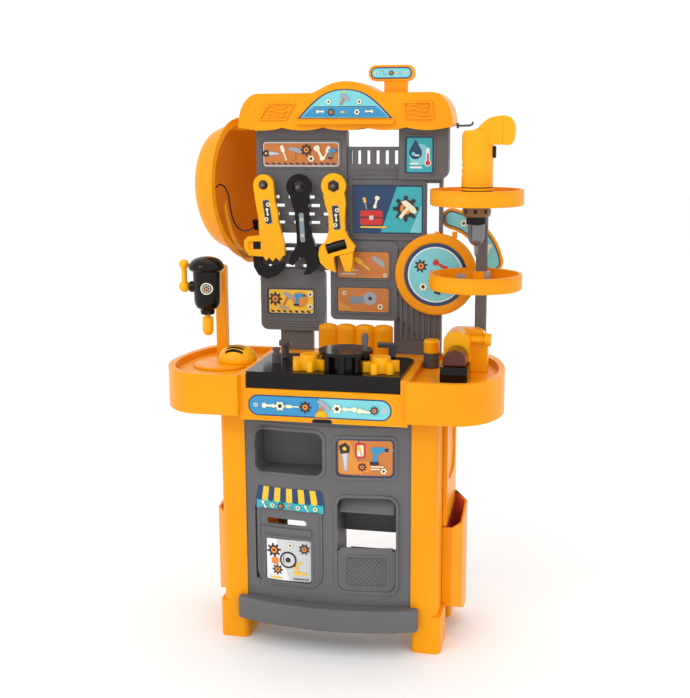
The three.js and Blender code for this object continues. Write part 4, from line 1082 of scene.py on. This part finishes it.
# ---- labels on the wrenches ----
WRENCH_FACE = 140
for tool, x, z, lean, body in (("pipe", -129.5, 688, 8, "pipe_wrench"),
                               ("adjustable", -13.5, 680, 6, "adjustable_wrench")):
    strip = placed(rect(-6, 6, -20, 20, 3), x, z, 1, lean)
    inside = placed(rect(-5, 5, -19, 19, 2.4), x, z, 1, lean)
    label(tool + "_wrench_print", body, [
        ("slate", strip), ("dark", inside), *draw("bolt", x + 1.4, z + 12, 0.6),
        *draw("wrench", x, z, 0.6, lean, "cream"), *draw("bolt", x - 1.4, z - 12, 0.6),
    ], facing(WRENCH_FACE))
strip = placed(rect(-4, 4, -24, 24, 2.4), -71, 663, 1, 3)
label("open_wrench_print", "open_end_wrench", [
    ("slate", strip), *draw("bolt", -71.5, 676, 0.45), *draw("bolt", -70.5, 650, 0.45),
], facing(WRENCH_FACE))


# ---- labels and trim on the table's front ----
FASCIA = -31
label("fascia_print", "bench", [
    ("navy", rect(-117, 108, 388, 421, 16)), ("blue", rect(-115, 106, 390, 419, 14.4)),
    ("sky", rect(-4, 106, 390, 419, corners=(0, 14.4, 14.4, 0))),
    *draw("screw", -105, 404.5, 0.9, 30), *draw("screw", 97, 404.5, 0.9, 50),
    *draw("wrench", -84, 404.5, 1.05, 90, "cream"), *draw("bolt", -66, 404.5, 1.2),
    *draw("driver", -46, 404.5, 1.1, 90, "cream"),
    *draw("gear", -26, 404.5, 0.95), *draw("hammer", 0, 405, 1.35, -32),
    *draw("bolt", 24, 404.5, 1.2), *draw("wrench", 44, 404.5, 1.05, -90, "cream"),
    *draw("saw", 66, 403, 0.85, 90, "cream"), *draw("gear", 82, 404.5, 0.7),
], facing(FASCIA))
trim("fascia_latch", lambda bm: board(bm, [arc(0, 391, 9.4, 0, 180, 24)], -36.9, -30),
     "lemon_plastic", 1.2, 3)
# painted shade: a thin black plate under the latch stands in for the shade in the notch
trim("fascia_notch_shade", lambda bm: board(bm, [rect(-14, 14, 380.4, 386, 1)], -31.4, -30), "black_plastic", 0.3)


# ---- the cabinet's front ----
PANEL, DOOR, BIN, LABEL_FLOOR = -14, -15.6, -13.5, -11.5


def bow_strip(name, rim, hole, front, thick, lift, body="bench", bevel=0.7, wrap=7.0):
    """A raised grey plate that follows the bowed front, with an optional hole."""
    bm = bmesh.new()
    fill(bm, [rim] + ([hole] if hole else []), lambda u, v: Vector((u, 0, v)))
    sliced(bm, rim, wrap)
    ahead = set(extruded(bm, bm.faces[:]))
    for v in bm.verts:
        depth = bow_y(v.co.x, front) - lift + (0 if v in ahead else thick)
        v.co = at(v.co.x, depth, v.co.z)
    return link(name, mesh_from(name, bm), FINISH["grey_plastic"], body, bevel, 2, 40)


bow_strip("niche_rim", rect(-119, 1, 285, 364, 17), rect(-114, -4, 290, 359, 13), PANEL, 3, 1.6)
bow_strip("label_rim", rect(13, 113, 287, 357, 12), rect(17, 109, 291, 353, 9), PANEL, 3, 2.0)
bow_strip("hatch_rim", rect(14, 116, 97, 262, 18), rect(19, 111, 102, 257, 14), PANEL, 3, 1.6)
bow_strip("door_label_rim", rect(-104, -19, 105, 185, 6), rect(-100, -23, 109, 181, 4), DOOR, 2.4, 1.0,
          "storage_door")
bow_strip("door_inner_line", rect(-111, -9, 102.5, 227.5, corners=(23, 23, 6, 6)),
          rect(-109, -11, 104.5, 225.5, corners=(21, 21, 5, 5)), DOOR, 2, 0.7, "storage_door", 0.4)
bow_strip("panel_groove_top", rect(-128, 128, 368.5, 371, 1), None, PANEL, 2, 0.9, bevel=0.5)

DOOR_STOP = [(-98, 97), (-5, 97), (-5, 234), (-98, 234), (-98, 227), (-13, 227), (-13, 104), (-98, 104)]
bow_strip("door_stop", DOOR_STOP, None, PANEL, 2.6, -3.6, bevel=0.3)

trim("door_hinge_cover", lambda bm: block(bm, -121, -101, 6.6, 8, 98, 240), "grey_plastic", 0.3)

label("niche_label", "bench", [
    ("navy", rect(18.5, 107.5, 292, 352, 8)), ("rust", rect(20.5, 105.5, 294, 350, 6.4)),
    ("amber", [(22, 296), (60, 296), (40, 348), (22, 348)]), ("orange", rect(47, 71, 299, 317, 3)),
    *draw("saw", 33, 321, 1.9, 10), ("red", rect(48, 64, 322, 346, 3)), ("cream", rect(51, 61, 325, 343, 2)),
    *draw("drill", 86, 328, 1.5), *draw("driver", 56, 333, 0.95, 18), ("cream", rect(72, 92, 308, 310)),
    ("cream", rect(72, 86, 304, 306)), *draw("gear", 59, 308, 0.7), *draw("bolt", 92, 302, 0.8),
], bowed(PANEL, LABEL_FLOOR), 7)
label("door_label", "storage_door", [
    ("dark", rect(-100, -23, 109, 181, 4)), ("pale", rect(-98.6, -24.4, 110.4, 179.6, 3)),
    ("white", [(-98, 111), (-60, 111), (-82, 179), (-98, 179)]),
    *draw("gear", -86, 160, 1.2, 10), *draw("gear", -80, 128, 0.9), ("dark", disc(-62, 146, 14, 36)),
    ("pale", disc(-62, 146, 11, 36)), ("dark", disc(-62, 146, 4.4, 24)), ("orange", disc(-84, 143, 6.4, 24)),
    *draw("arm", -42, 132, 1.25), *draw("gear", -35, 166, 0.9, 20), ("sun", rect(-94, -72, 113.5, 116, 1)),
    ("dark", rect(-54, -28, 114, 115.6)), *draw("bolt", -58, 171, 0.7),
], bowed(DOOR, LABEL_FLOOR), 7)


def awning():
    x0, x1, low, high, count = -116, -2, 224, 265, 11
    width = (x1 - x0) / count

    def pinch(x):
        return (x0 + x1) / 2 + (x - (x0 + x1) / 2) * 0.93

    layers = [("navy", rect(x0 - 1, x1 + 1, low + 1, low + 22, 3)),
              ("teal", rect(x0 + 1, x1 - 1, low + 3, low + 20, 2))]
    for k in range(count):
        left = x0 + width * k
        edge = [(left, low + 22)] + [(left + width / 2 + width / 2 * math.cos(a), low + 22 - 5 * math.sin(a))
                                     for a in (math.pi * (1 - s / 10) for s in range(1, 10))]
        edge += [(left + width, low + 22), (pinch(left + width), high), (pinch(left), high)]
        layers.append((("navy", "sun")[k % 2], edge))
    for k, (kind, ink) in enumerate((("wrench", "cream"), ("bolt", None), ("gear", None), ("hammer", None),
                                     ("bolt", None), ("driver", "cream"), ("bolt", None))):
        layers += draw(kind, -102 + 14.4 * k, low + 11, 0.62, 30, ink)
    return layers


label("awning_print", "bench", awning(), bowed(PANEL), 7)


# ---- hatch lip, and the raised lattice on the bin's face ----
def hatch_lip(bm):
    rows = [(-6, 230), (-1, 236), (5, 246), (10, 256)]
    made, top = [[[bm.verts.new(at(x, y, z + lift)) for x in (22, 108)] for y, z in rows]
                 for lift in (0, 2.4)]
    for low, high in zip(made, made[1:]):
        bm.faces.new((low[0], low[1], high[1], high[0]))
    for low, high in zip(top, top[1:]):
        bm.faces.new((low[1], low[0], high[0], high[1]))
    for side in (0, 1):
        for a, b, c, d in zip(made, made[1:], top[1:], top):
            bm.faces.new((a[side], b[side], c[side], d[side]))
    bm.faces.new((made[0][0], made[0][1], top[0][1], top[0][0]))
    bm.faces.new((made[-1][0], made[-1][1], top[-1][1], top[-1][0]))


trim("hatch_lip", hatch_lip, "grey_plastic", 0.6)


def lattice(bm):
    """Crossing slanted ribs clipped to the rectangle x 34..96, z 112..158, on the bowed face."""
    x0, x1, z0, z1 = 34, 96, 112, 158
    for lean in (1, -1):
        for k in range(-9, 18):
            ends = []
            start = x0 + 8 * k
            for t in range(24):
                z = z0 + (z1 - z0) * t / 23
                x = start + lean * (z - z0)
                if x0 <= x <= x1:
                    ends.append((x, z))
            if len(ends) < 2:
                continue
            corners = []
            for x, z in (ends[0], ends[-1]):
                for side in (-1.1, 1.1):
                    y = bow_y(x, BIN)
                    corners.append([bm.verts.new(at(x + side, y - 1.2, z)),
                                    bm.verts.new(at(x + side, y + 1, z))])
            a, b, c, d = corners
            bm.faces.new((a[0], b[0], d[0], c[0]))
            bm.faces.new((a[0], c[0], c[1], a[1]))
            bm.faces.new((b[0], d[0], d[1], b[1]))


trim("bin_lattice", lattice, "grey_plastic", 0, body="pull_bin")
bow_strip("bin_rim", rect(30, 100, 108, 162, 6), rect(33, 97, 111, 159, 4), BIN, 2.4, 1.2, "pull_bin")


# ---- sides ----
def pocket_ribs(bm):
    for side in (-1, 1):
        for k in range(4):
            x0, x1 = sorted((side * 206, side * 207.2))
            block(bm, x0, x1, 84 + 16 * k, 90 + 16 * k, 60, 170)


trim("pocket_ribs", pocket_ribs, "yellow_plastic", 0.6)


# ---- finish on any CAD node that still shows ----
shown = [node for node, piece in frame["nodes"].items() if not piece.hide_render]
for node in shown:
    piece = frame["nodes"][node]
    piece.data.materials.clear()
    piece.data.materials.append(FINISH[SLOT_OF[node]])
